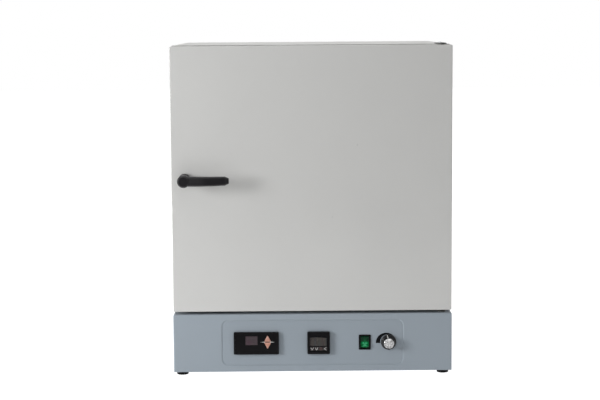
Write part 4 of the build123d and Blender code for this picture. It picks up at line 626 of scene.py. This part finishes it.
# %% Mouldings, rubber and inks
MOULDINGS = [  # name, specular, colour, pebble, fineness, gloss, rub
    ("silicone", 0.3, srgb(66, 65, 66), 0.000015, 1500.0, 0.5, 0.1),
    ("foot_rubber", 0.12, srgb(9, 9, 10), 0.00004, 1400.0, 0.62, 0.06),
    ("frame_black", 0.12, srgb(9, 8, 11), 0.000012, 2600.0, 0.32, 0.02),
    ("lever_black", 0.45, srgb(26, 24, 27), 0.00002, 2000.0, 0.36, 0.05),
    ("knob_black", 0.4, srgb(14, 15, 18), 0.000008, 3000.0, 0.3, 0.06),
    ("acetal_black", 0.3, srgb(34, 34, 36), 0.000006, 2600.0, 0.35, 0.04),
    ("bone_nylon", 0.4, srgb(214, 209, 196), 0.00001, 2600.0, 0.4, 0.2),
    ("grey_key", 0.3, srgb(58, 54, 54), 0.000012, 2600.0, 0.45, 0.12),
    ("white_ink", 0.3, srgb(228, 228, 226), 0.000004, 2600.0, 0.5, 0.0),
    ("black_ink", 0.08, srgb(11, 12, 16), 0.000004, 2600.0, 0.42, 0.0),
    ("red_ink", 0.3, srgb(96, 58, 54), 0.000004, 2600.0, 0.5, 0.0),
]
SHEEN = {"lever_black": dict(sheen_weight=0.05, sheen_tint=(0.6, 0.5, 0.7, 1))}
for name, specular, colour, pebble, fineness, gloss, rub in MOULDINGS:
    values = dict(Colour=colour, Pebble=pebble, Fineness=fineness, Gloss=gloss, Rub=rub)
    coated(name, moulded_skin, values, specular_ior_level=specular, **SHEEN.get(name, {}))
print(len(MOULDINGS), "moulded or printed finishes")

# %% [markdown]
# The controller's window is a tinted pane over an unlit display, mauve because the red digits behind it are
# off. The timer's window is smoked, and upright bars of a dark display show faintly through it, browner
# towards the right.

# %% Windows
tree, shader = finish("display_window", specular_ior_level=0.3)
glass = dict(Colour=srgb(77, 56, 67), Pebble=0.000002, Fineness=900.0, Gloss=0.2, Rub=0.25)
pane = through(tree, moulded_skin, shader, glass)
corner = between(noise(tree, 1.0, 1, here(tree, (40, 1, 55), (0.32, 0, 0.01))), 0, 0.55, 0.4, 0.65)
feed(shader, Base_Color=tinted(corner, pane["Colour"], srgb(62, 60, 60)))

tree, shader = finish("smoked_window", specular_ior_level=0.3)
columns = noise(tree, 1.0, 1, here(tree, (150, 1, 14)))
label = tinted(between(columns, 0, 1, 0.4, 0.6), srgb(64, 61, 57), srgb(54, 58, 60))
warm = between(noise(tree, 1.0, 1, here(tree, (110, 1, 9), (0.5, 0, 0))), 0, 0.8, 0.45, 0.7)
label = tinted(warm, label, srgb(68, 56, 54))
rough = between(noise(tree, 90, 4), 0.2, 0.34)
feed(shader, Base_Color=label, Roughness=rough, Normal=bumped(noise(tree, 240, 2), 0.000006))
print("windows: display_window, smoked_window")

# %% [markdown]
# The controller's two keys are soft orange, the upper one painted a shade darker as painted shade, and both
# are worn paler in patches by the fingers that press them.

# %% Orange keys
# Painted shade: the upper key takes a darker copy of the same orange as the lower one.
KEY_COLOURS_UPPER_SHADED = {"up": srgb(184, 132, 116), "down": srgb(206, 148, 128)}
WORN_ORANGE = srgb(232, 196, 182)

for way, colour in KEY_COLOURS_UPPER_SHADED.items():
    tree, shader = finish(f"orange_key_{way}", specular_ior_level=0.3)
    rubber = dict(Colour=colour, Pebble=0.00002, Fineness=1800.0, Gloss=0.5, Rub=0.3)
    out = through(tree, moulded_skin, shader, rubber)
    print_wear = between(noise(tree, 330, 3), 0, 0.5, 0.4, 0.7)
    feed(shader, Base_Color=tinted(print_wear, out["Colour"], WORN_ORANGE))
print("orange keys:", *KEY_COLOURS_UPPER_SHADED)

# %% [markdown]
# The rocker is a clear green lens with a lamp behind it. Its back is moulded in facets that fan out from the
# lamp, the same on both sides of its middle line. The light on it is painted into the colour: the green is
# painted bright near the lamp and shaded almost black in the corners, and a painted highlight runs up the
# middle of its upper half.
# Here the angle and the distance from the lamp, with the left side folded over the right one, drive the
# Voronoi cells that give each facet its painted brightness.

# %% Green lens, with painted light
PAINTED_LIGHT_DROP = 0.0042
PAINTED_LIGHT_REACH = 0.0012, 0.0115
PAINTED_LIGHT_GREENS = [
    (0.0, srgb(2, 40, 24)), (1.0, srgb(120, 228, 176)), (0.3, srgb(4, 98, 52)), (0.62, srgb(20, 148, 88))
]

tree, shader = finish("green_lens", specular_ior_level=0.15)
low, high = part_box("switch_rocker")
centre = (low + high) / 2
away = split(here(tree, middle=(centre.x, centre.y, centre.z - PAINTED_LIGHT_DROP)))
aside = calc("ABSOLUTE", away["X"])
angle = calc("ARCTAN2", aside, away["Z"])
reach = reach_of(aside, away["Z"])
fan = joined(times(angle, 2.2), times(reach, 230))
facets = put(tree, "ShaderNodeTexVoronoi", {"Vector": fan, "Scale": 1.0, "Randomness": 0.7}).outputs
sparkle = put(tree, "ShaderNodeSeparateColor", {0: facets["Color"]}).outputs[0]
# Painted light: bright near the lamp, painted shade towards the corners, a painted highlight up the upper
# middle.
painted_light_falloff = between(reach, 1.0, 0.06, *PAINTED_LIGHT_REACH)
painted_lens_light = times(painted_light_falloff, between(sparkle, 0.22, 1.0, 0.15, 0.85))
upper_half = between(away["Z"], 0, 1, 0.003, 0.008)
painted_ridge_highlight = times(between(aside, 0.16, 0.0, 0.0002, 0.0007), upper_half)
green = ramped(plus(painted_lens_light, painted_ridge_highlight), PAINTED_LIGHT_GREENS)
rough = between(sparkle, 0.16, 0.34, 0, 1)
feed(shader, Base_Color=green, Roughness=rough, Normal=bumped(facets["Distance"], 0.0001))
print("lens", round((high.z - low.z) * 1000, 1), "mm tall")

# %% [markdown]
# The knob's cap is aluminium, faced on a lathe. The same rings, finer, finish the fan's shaft. Both carry the
# painted highlight and shade of the sectors, strong on the cap and faint on the shaft.

# %% Turned aluminium and steel


def axis_of(node):
    """The middle of a turned node, which its axis goes through."""
    near_corner, far_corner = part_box(node)
    return (near_corner + far_corner) / 2


knob_axis = axis_of("knob_cap")
TURNED = {
    "knob_aluminium": dict(
        Colour=(0.62, 0.62, 0.625, 1), Middle=knob_axis, Gloss=0.32, Sectors=0.42, Depth=0.00002
    ),
    "turned_steel": dict(
        Colour=(0.55, 0.56, 0.58, 1), Middle=axis_of("fan_shaft"), Gloss=0.28, Sectors=0.12, Depth=0.000008
    ),
}
for name, values in TURNED.items():
    coated(name, rings_and_painted_sectors, values, metallic=1.0)
print(len(FINISHES), "finishes in all")

# %% [markdown]
# ## Dressing the CAD nodes
# The record gives every node a material slot. Most slots are named after their finish; the first table names
# the others. The second one names the nodes that need a finish of their own, such as the upright grain of
# the baffle.

# %% Which node wears which finish
SLOT_FINISH = {
    "stainless": "stainless_across",
    "zinc_steel": "zinc_turned",
    "black_plastic": "frame_black",
    "green_rocker": "green_lens",
    "nylon": "bone_nylon",
}
OWN_FINISH = {
    "door_paint": ["door_skin"],
    "stainless_inward": ["chamber_liner", "vent_duct"],
    "stainless_upright": ["rear_baffle"],
    "stainless_across": ["vent_cap", "vent_rosette"],
    "zinc_sheet": ["casing_floor", "inner_rear_panel", "fan_wheel", "plinth_floor"],
    "turned_steel": ["fan_shaft"],
    "lever_black": ["handle_lever"],
    "knob_black": ["knob_skirt"],
    "acetal_black": ["spindle_sleeve", "hinge_bushes"],
    "aluminium_fins": ["solid_state_relay"],
    "orange_key_up": ["controller_key_up"],
    "orange_key_down": ["controller_key_down"],
}
node_finish = {node: name for name, wearers in OWN_FINISH.items() for node in wearers}
worn = set()
for subpart in frame["record"]["subparts"]:
    node, slot = subpart["node"], subpart["material_slot"]
    wanted = node_finish.get(node, SLOT_FINISH.get(slot, slot))
    for place in nodes[node].material_slots:
        place.material = FINISHES[wanted]
    worn.add(wanted)
print(len(worn), "finishes on", len(nodes), "nodes; for the small pieces:", *sorted(set(FINISHES) - worn))

# %% [markdown]
# ## Prints and marks
# A print has almost no thickness, yet it has an edge and a gloss of its own. Each mark here is a thin mesh
# that stands a few hundredths of a millimetre off its surface: an outline in X and Z, given a front, a back
# and sides. One helper makes them all, and a second one turns any mesh that is built corner by corner into
# an object.

# %% Helpers for small pieces
INK = 0.00008
THIN_INK = 0.00005


def solid(name, shape, material, triangles=False):
    """An object from a finished bmesh, with all its faces turned outwards."""
    bmesh.ops.recalc_face_normals(shape, faces=shape.faces[:])
    if triangles:
        bmesh.ops.triangulate(shape, faces=shape.faces[:])
    mesh = bpy.data.meshes.new(name)
    shape.to_mesh(mesh)
    shape.free()
    mesh.materials.append(FINISHES[material])
    return placed(name, mesh)


def mark(name, outlines, depth, ink, body, thickness=INK):
    """Flat prints on a surface that faces the front; outlines are lists of (x, z) corners."""
    shape = bmesh.new()
    for outline in outlines:
        front = [shape.verts.new((x, depth - thickness, z)) for x, z in outline]
        back = [shape.verts.new((x, depth, z)) for x, z in outline]
        shape.faces.new(front)
        shape.faces.new(list(reversed(back)))
        for i in range(len(front)):
            j = (i + 1) % len(front)
            shape.faces.new([front[j], front[i], back[i], back[j]])
    made = solid(name, shape, ink, triangles=True)
    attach(made, body)
    return made


# %% [markdown]
# The black wedge behind the knob swells from nothing at the upper right to its full width at the left: the
# usual sign for more and less. It lies between two circles whose middles are a few millimetres apart.

# %% The wedge behind the knob
WEDGE_OUTER = (-0.0052, -0.0021, 0.022, 181, 50)  # middle from the knob's axis, radius, first and last angle
WEDGE_INNER = (-0.002, 0.0006, 0.0157, 50, 191)
WEDGE_STEPS = 40


def arc(middle, radius, start, end, steps):
    """Points on an arc, from one angle to another, in degrees from the right, anticlockwise."""
    x, z = middle
    angles = [radians(start + (end - start) * step / steps) for step in range(steps + 1)]
    return [(x + radius * cos(a), z + radius * sin(a)) for a in angles]


film_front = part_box("control_overlay")[0].y
outline = []
for aside, up, radius, start, end in (WEDGE_OUTER, WEDGE_INNER):
    outline += arc((knob_axis.x + aside, knob_axis.z + up), radius, start, end, WEDGE_STEPS)
wedge = mark("wedge_scale", [outline], film_front, "black_ink", "cabinet", THIN_INK)
print("wedge", round(wedge.dimensions.x * 1000, 1), "mm across")

# %% [markdown]
# The knob's white pointer is a bar that climbs from the skirt over the grip to the edge of the cap. It
# follows the knob's profile, a little proud of it and rooted inside, and it turns with the knob.

# %% The knob's pointer
POINTER_LEAN = radians(11)
POINTER_HALF = 0.0008
POINTER_LAYERS = (0.00022, -0.0006)  # proud of the knob, and inside it
POINTER_SLOPE = 0.6  # how much of that goes forward
POINTER_PROFILE = [(0.01525, 0.00375), (0.0129, 0.0052), (0.01235, 0.0171), (0.0113, 0.01735)]


def on_knob(radius, out, side):
    """A place on the pointer: out from the knob's axis, forward from the panel, and to the side."""
    x = -sin(POINTER_LEAN) * radius + cos(POINTER_LEAN) * side
    z = cos(POINTER_LEAN) * radius + sin(POINTER_LEAN) * side
    return (knob_axis.x + x, film_front - out, knob_axis.z + z)


shape = bmesh.new()
rows = []
for radius, out in POINTER_PROFILE:
    corners = [(lift, side) for lift in POINTER_LAYERS for side in (-1, 1)]
    rows.append([
        shape.verts.new(on_knob(radius + lift, out + lift * POINTER_SLOPE, side * POINTER_HALF))
        for lift, side in corners
    ])
for first, second in zip(rows, rows[1:]):
    for a, b in ((0, 1), (1, 3), (3, 2), (2, 0)):
        shape.faces.new([first[a], first[b], second[b], second[a]])
for row in (rows[0], rows[-1]):
    shape.faces.new([row[0], row[1], row[3], row[2]])
pointer = solid("knob_pointer", shape, "white_ink")
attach(pointer, "knob")
print("pointer", len(pointer.data.polygons), "faces")

# %% [markdown]
# A fine white line parts the controller's two keys, in two halves that taper outwards. It is printed on the
# sunk face of the housing.

# %% The line between the controller's keys
SUNK_FACE = 0.0006
DIVIDER_TIP, DIVIDER_SWELL, DIVIDER_ROOT = 0.0155, 0.008, 0.0052
DIVIDER_HALF = 0.0007

up_low, up_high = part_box("controller_key_up")
down_low, down_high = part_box("controller_key_down")
middle_x = (up_low.x + up_high.x) / 2
middle_z = (up_low.z + down_high.z) / 2
sunk_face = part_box("controller_housing")[0].y + SUNK_FACE
over, below = middle_z + DIVIDER_HALF, middle_z - DIVIDER_HALF
halves = []
for side in (-1, 1):
    tip, swell, root = (middle_x + side * out for out in (DIVIDER_TIP, DIVIDER_SWELL, DIVIDER_ROOT))
    halves.append([(tip, middle_z), (swell, over), (root, over), (root, below), (swell, below)])
mark("key_divider", halves, sunk_face, "white_ink", "cabinet")
print("line", round(2 * DIVIDER_TIP * 1000, 1), "mm long, in", len(halves), "halves")

# %% [markdown]
# A thin black layer lies on the front of the timer's window and darkens its top and right side. Its lower
# edge is a shallow arch.

# %% The timer's mask
MASK_SIDE = 0.002
MASK_ARCH = [(0.004, 0.0022), (-0.006, 0.0019)]  # from the window's middle, down from its top
MASK_RIGHT, MASK_LEFT = 0.0034, 0.0027  # down from the window's top, at its sides

low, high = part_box("timer_window")
inner_x = high.x - MASK_SIDE
arch = [((low.x + high.x) / 2 + aside, high.z - drop) for aside, drop in MASK_ARCH]
mask = [(low.x, high.z), (high.x, high.z), (high.x, low.z), (inner_x, low.z)]
mask += [(inner_x, high.z - MASK_RIGHT), *arch, (low.x, high.z - MASK_LEFT)]
mark("timer_mask", [mask], low.y, "black_ink", "cabinet", THIN_INK)
print("mask", len(mask), "corners")

# %% [markdown]
# The timer's four small keys carry plain signs: two that point down, a square and one that points left. Each
# mark rides on its own key, so it goes in when the key is pressed.

# %% Marks on the timer's keys
PEN = 0.0008
PEN_GAP = 0.00001
POINT_DOWN = [(-0.0031, 0.003), (0.0, -0.0028), (0.0031, 0.003)]
POINT_LEFT = [(0.0024, 0.0029), (-0.0024, 0.0), (0.0024, -0.0029)]
SQUARE = [(-0.0022, -0.0022), (0.0022, -0.0022), (0.0022, 0.0022), (-0.0022, 0.0022), (-0.0022, -0.0022)]
KEY_SIGNS = [POINT_DOWN, POINT_DOWN, SQUARE, POINT_LEFT]


def stroke(points, width):
    """The outline of a pen stroke through two or more (x, z) points, as one band for each run."""
    bands = []
    for start, end in zip(points, points[1:]):
        along = Vector((end[0] - start[0], end[1] - start[1])).normalized()
        side = Vector((-along.y, along.x)) * width / 2
        there = [(x + side.x, z + side.y) for x, z in (start, end)]
        back = [(x - side.x, z - side.y) for x, z in (end, start)]
        bands.append(there + back)
    return bands


for index, sign in enumerate(KEY_SIGNS, 1):
    low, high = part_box(f"timer_key_{index}")
    x, z = (low.x + high.x) / 2, (low.z + high.z) / 2
    lines = stroke([(x + dx, z + dz) for dx, dz in sign], PEN)
    ink = "red_ink" if sign is SQUARE else "white_ink"
    mark(f"timer_sign_{index}", lines, low.y + PEN_GAP, ink, f"time_key_{index}")
print(len(KEY_SIGNS), "signs")

# %% [markdown]
# ## The knob's cap
# The cap is a disc of aluminium that was faced on a lathe, with a small bevel round its rim and a shallow
# dish. A turned piece is a profile carried round an axis: here rings of corners are joined into faces, which
# gives clean quads and a closed back.

# %% The knob's cap
low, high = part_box("knob_cap")
CAP_RADIUS = 0.0107
CAP_BEVEL = 0.0006
CAP_DISH = [(0.0, 0.0004), (0.006, 0.00035), (0.0088, 0.00022), (0.0094, 0.0), (0.0101, 0.0)]
CAP_DEPTH = high.y - low.y
CAP_PROFILE = CAP_DISH + [(CAP_RADIUS, CAP_BEVEL), (CAP_RADIUS, CAP_DEPTH), (0.0, CAP_DEPTH)]
CAP_SIDES = 72

shape = bmesh.new()
rings = []
for radius, back in CAP_PROFILE:
    ring = [(knob_axis.x, knob_axis.z)]
    if radius > 0:
        ring = arc(ring[0], radius, 0, 360, CAP_SIDES)[:-1]
    rings.append([shape.verts.new((x, low.y + back, z)) for x, z in ring])
for first, second in zip(rings, rings[1:]):
    for i in range(CAP_SIDES):
        j = i + 1
        corners = [ring[k % len(ring)] for ring, k in ((first, i), (first, j), (second, j), (second, i))]
        shape.faces.new(list(dict.fromkeys(corners)))
cap = solid("turned_cap", shape, "knob_aluminium")
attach(cap, "knob")
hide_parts("knob_cap")
print("cap", len(cap.data.polygons), "faces")

# %% [markdown]
# ## Shapes from Geometry Nodes
# A geometry tree is a recipe with named sizes. It suits what repeats or follows a path, because one screw is
# built once and set down wherever a point says. The tree runs on a base object as a modifier, and the result
# is kept as a plain mesh, so nothing live is left.

# %% Helpers for geometry trees
WELD = 1e-6  # corners nearer than this become one


def recipe(name, inputs):
    """A geometry tree whose named inputs are its sizes, with the sockets that come in and go out."""
    kinds = {"Geometry": "Geometry", "Seed": "Int", "Middle": "Vector"}
    tree = bpy.data.node_groups.new(name, "GeometryNodeTree")
    for socket in ["Geometry", *inputs]:
        kind = "NodeSocket" + kinds.get(socket, "Float")
        tree.interface.new_socket(socket, in_out="INPUT", socket_type=kind)
    tree.interface.new_socket("Geometry", in_out="OUTPUT", socket_type="NodeSocketGeometry")
    return tree, put(tree, "NodeGroupInput").outputs, put(tree, "NodeGroupOutput").inputs


def moved(geometry, **how):
    """Geometry that is moved, turned or scaled."""
    return put(tree_of(geometry), "GeometryNodeTransform", {"Geometry": geometry, **how}).outputs[0]


def lifted(geometry, unit, share):
    """Geometry that is raised by a share of a length."""
    return moved(geometry, Translation=joined(0, 0, times(unit, share)))


def served(geometry, material, result):
    """Ends a recipe: its instances become real, and take their material."""
    tree = tree_of(geometry)
    real = put(tree, "GeometryNodeRealizeInstances", {0: geometry}).outputs[0]
    dressed = put(tree, "GeometryNodeSetMaterial", {"Geometry": real, "Material": FINISHES[material]})
    tree.links.new(dressed.outputs[0], result["Geometry"])


def cooked(name, base, tree, sizes, body, slot, *stands_for):
    """Runs a recipe on a base mesh or curve, and keeps the result as one plain mesh on a body."""
    source = placed(name + "_base", base)
    maker = source.modifiers.new("recipe", "NODES")
    maker.node_group = tree
    for item in tree.interface.items_tree:
        if item.in_out == "INPUT" and item.name in sizes:
            maker[item.identifier] = sizes[item.name]
    ready = source.evaluated_get(bpy.context.evaluated_depsgraph_get())
    mesh = bpy.data.meshes.new_from_object(ready)
    clean = bmesh.new()
    clean.from_mesh(mesh)
    bmesh.ops.remove_doubles(clean, verts=clean.verts[:], dist=WELD)
    bmesh.ops.recalc_face_normals(clean, faces=clean.faces[:])
    clean.to_mesh(mesh)
    clean.free()
    bpy.data.objects.remove(source)
    made = placed(name, mesh)
    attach(made, body)
    if stands_for:
        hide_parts(*stands_for)
    print(name, len(mesh.polygons), "faces")
    return made


# %% [markdown]
# ### Screws
# The rear cover, the motor, the keeper and the hinge brackets are held by pan-head screws with a cross
# recess. The CAD model holds plain ones. Each is found as a separate island of its mesh: the long side of its
# box is its axis, and the thick end is its head. Those places and directions go to the recipe as points.

# %% Find the screws
END_BAND = 0.0002  # how near to a screw's end its corners count as the end's
CAD_HEAD = 0.0024


def islands(node):
    """The separate solids of a CAD node, each as a list of its corners."""
    shape = bmesh.new()
    shape.from_mesh(nodes[node].data)
    bmesh.ops.remove_doubles(shape, verts=shape.verts[:], dist=WELD)
    left, found = set(shape.verts), []
    while left:
        grown = [left.pop()]
        for corner in grown:
            for edge in corner.link_edges:
                other = edge.other_vert(corner)
                if other in left:
                    left.remove(other)
                    grown.append(other)
        found.append([corner.co.copy() for corner in grown])
    shape.free()
    return found


def screw_place(corners):
    """Where a screw's head sits, the way it faces, its shank's radius and its length under the head."""
    low, high = (Vector(f(c[i] for c in corners) for i in range(3)) for f in (min, max))
    size, middle = high - low, (low + high) / 2
    long_side = max(range(3), key=lambda i: size[i])
    axis = Vector([i == long_side for i in range(3)])
    radius = {}
    for sign in (-1, 1):
        level = middle[long_side] + sign * size[long_side] / 2
        end = [c - middle for c in corners if abs(c[long_side] - level) < END_BAND]
        radius[sign] = max((arm - arm.project(axis)).length for arm in end)
    sign = max(radius, key=radius.get)
    facing = Vector([sign * (i == long_side) for i in range(3)])
    seat = middle + facing * (size[long_side] / 2 - CAD_HEAD)
    return seat, facing, min(radius.values()), size[long_side] - CAD_HEAD


screws = sorted((screw_place(corners) for corners in islands("panel_screws")), key=lambda s: tuple(s[0]))
shank_radius, shank_length = screws[0][2:]
screw_points = bpy.data.meshes.new("screw_points")
screw_points.from_pydata([seat for seat, *_ in screws], [], [])
ways = screw_points.attributes.new("facing", "FLOAT_VECTOR", "POINT")
ways.data.foreach_set("vector", [value for _, facing, *_ in screws for value in facing])
print(len(screws), "screws; shank", [round(v * 1000, 2) for v in (shank_radius, shank_length)], "mm")

# %% [markdown]
# The head is a flattened ball. One block cuts away its lower half, and two crossed ones make the recess.

# %% The screw's head
screw_recipe, given, result = recipe(
    "pan_head_screws", ["Head Radius", "Head Height", "Shank Radius", "Shank Length", "Thread Pitch", "Seed"]
)
tree = screw_recipe
wide, tall = given["Head Radius"], given["Head Height"]
ball = put(tree, "GeometryNodeMeshUVSphere", {"Segments": 28, "Rings": 14, "Radius": 1.0}).outputs["Mesh"]
dome = moved(ball, Scale=joined(wide, wide, tall))
carve = put(tree, "GeometryNodeMeshBoolean", {"Mesh 1": dome}, operation="DIFFERENCE")
LOWER_HALF = (3, 3, 2, -1)  # width, depth, height and middle, in shares of the head's radius and height
CROSS = [(1.05, 0.24, 1, 1), (0.24, 1.05, 1, 1)]
for across, inward, upward, lift in (LOWER_HALF, *CROSS):
    size = joined(times(wide, across), times(wide, inward), times(tall, upward))
    cube = put(tree, "GeometryNodeMeshCube", {"Size": size}).outputs["Mesh"]
    tree.links.new(lifted(cube, tall, lift), carve.inputs["Mesh 2"])
head = carve.outputs["Mesh"]
print("head cut by", len(CROSS) + 1, "blocks")

# %% [markdown]
# The shank is a cylinder, and the thread a spiral curve that carries a three-cornered tooth. Each screw then
# stands where its point says, turned at random round its axis, because nobody lines up the slots.

# %% The screw's shank and thread
CORE, TOOTH = 0.84, 0.15  # shares of the shank's radius
SHANK_MIDDLE, THREAD_LENGTH, THREAD_START = -0.499, 0.92, -0.96  # shares of its length

length = given["Shank Length"]
core = times(given["Shank Radius"], CORE)
rod = put(tree, "GeometryNodeMeshCylinder", {"Vertices": 16, "Radius": core, "Depth": length}).outputs["Mesh"]
shank = lifted(rod, length, SHANK_MIDDLE)
winding = {
    "Resolution": 12,
    "Rotations": calc("DIVIDE", length, given["Thread Pitch"]),
    "Start Radius": core,
    "End Radius": core,
    "Height": times(length, THREAD_LENGTH),
}
helix = put(tree, "GeometryNodeCurveSpiral", winding).outputs[0]
tooth = {"Resolution": 3, "Radius": times(given["Shank Radius"], TOOTH)}
tooth = put(tree, "GeometryNodeCurvePrimitiveCircle", tooth).outputs[0]
swept = {"Curve": helix, "Profile Curve": tooth, "Fill Caps": True}
thread = put(tree, "GeometryNodeCurveToMesh", swept).outputs[0]
thread = lifted(thread, length, THREAD_START)
whole = put(tree, "GeometryNodeJoinGeometry")
for part in (head, shank, thread):
    tree.links.new(part, whole.inputs[0])

facing = put(tree, "GeometryNodeInputNamedAttribute", {"Name": "facing"}, data_type="FLOAT_VECTOR").outputs[0]
upright = put(tree, "FunctionNodeAlignRotationToVector", {"Vector": facing}, axis="Z").outputs[0]
chance = {2: 0.0, 3: pi / 2, "Seed": given["Seed"]}
chance = put(tree, "FunctionNodeRandomValue", chance, data_type="FLOAT").outputs[1]
twist = put(tree, "FunctionNodeAxisAngleToRotation", {"Axis": (0, 0, 1), "Angle": chance}).outputs[0]
stance = {"Rotation": upright, "Rotate By": twist}
stance = put(tree, "FunctionNodeRotateRotation", stance, rotation_space="LOCAL").outputs[0]
copies = {"Points": given["Geometry"], "Instance": whole.outputs[0], "Rotation": stance}
served(put(tree, "GeometryNodeInstanceOnPoints", copies).outputs[0], "zinc_turned", result)
print("pan_head_screws", len(tree.nodes), "nodes")

# %% Drive the screws
screw_sizes = {
    "Head Radius": 0.0039,
    "Head Height": 0.0021,
    "Shank Radius": shank_radius,
    "Shank Length": shank_length,
    "Thread Pitch": 0.0007,
    "Seed": 4,
}
cooked("cross_head_screws", screw_points, screw_recipe, screw_sizes, "cabinet", "zinc_steel", "panel_screws")

# %% [markdown]
# ### The door seal
# A soft black profile runs round the mouth of the chamber and closes the gap to the door: a flat foot with a
# bulb on it. It is one section carried along a rounded rectangle, which is what Curve to Mesh does, so the
# base object is the section, and the recipe draws the path.

# %% The seal recipe
CORNER_STEPS = 14

seal_recipe, given, result = recipe("door_seal", ["Width", "Height", "Corner", "Middle"])
tree = seal_recipe
sides = {"Width": given["Width"], "Height": given["Height"]}
path = put(tree, "GeometryNodeCurvePrimitiveQuadrilateral", sides).outputs[0]
corners = {"Curve": path, "Count": CORNER_STEPS, "Radius": given["Corner"]}
path = put(tree, "GeometryNodeFilletCurve", corners, mode="POLY").outputs[0]
swept = put(tree, "GeometryNodeCurveToMesh", {"Curve": path, "Profile Curve": given["Geometry"]}).outputs[0]
stood = moved(swept, Translation=given["Middle"], Rotation=(pi / 2, 0, 0))
soft = put(tree, "GeometryNodeSetShadeSmooth", {"Geometry": stood}).outputs[0]
served(soft, "silicone", result)
print("door_seal", len(tree.nodes), "nodes")

# %% [markdown]
# The section is drawn in millimetres, across the seal and out towards the door. The seal has to fill the
# same box as the plain gasket of the CAD model.

# %% The seal round the chamber's mouth
SEAL_HALF = [(0, 7.6), (1.9, 7.3), (3.6, 6.2), (4.6, 4.2), (4.9, 2.0), (7, 1.5), (7, 0)]
SEAL_SECTION = [(-across, out) for across, out in reversed(SEAL_HALF[1:])] + SEAL_HALF
SEAL_WIDTH = 0.014
SEAL_CORNER = 0.027

section = bpy.data.curves.new("seal_section", "CURVE")
line = section.splines.new("POLY")
line.points.add(len(SEAL_SECTION) - 1)
for point, (across, out) in zip(line.points, SEAL_SECTION):
    point.co = (across / 1000, -out / 1000, 0, 1)
line.use_cyclic_u = True
low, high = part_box("chamber_gasket")
seal_sizes = {
    "Width": high.x - low.x - SEAL_WIDTH,
    "Height": high.z - low.z - SEAL_WIDTH,
    "Corner": SEAL_CORNER,
    "Middle": ((low.x + high.x) / 2, high.y, (low.z + high.z) / 2),
}
seal = cooked("door_seal", section, seal_recipe, seal_sizes, "cabinet", "silicone", "chamber_gasket")
reached = [f(c.co[i] for c in seal.data.vertices) for f in (min, max) for i in range(3)]
print("gasket box", [round(v * 1000, 1) for v in (*low, *high)])
print("seal box  ", [round(v * 1000, 1) for v in reached])
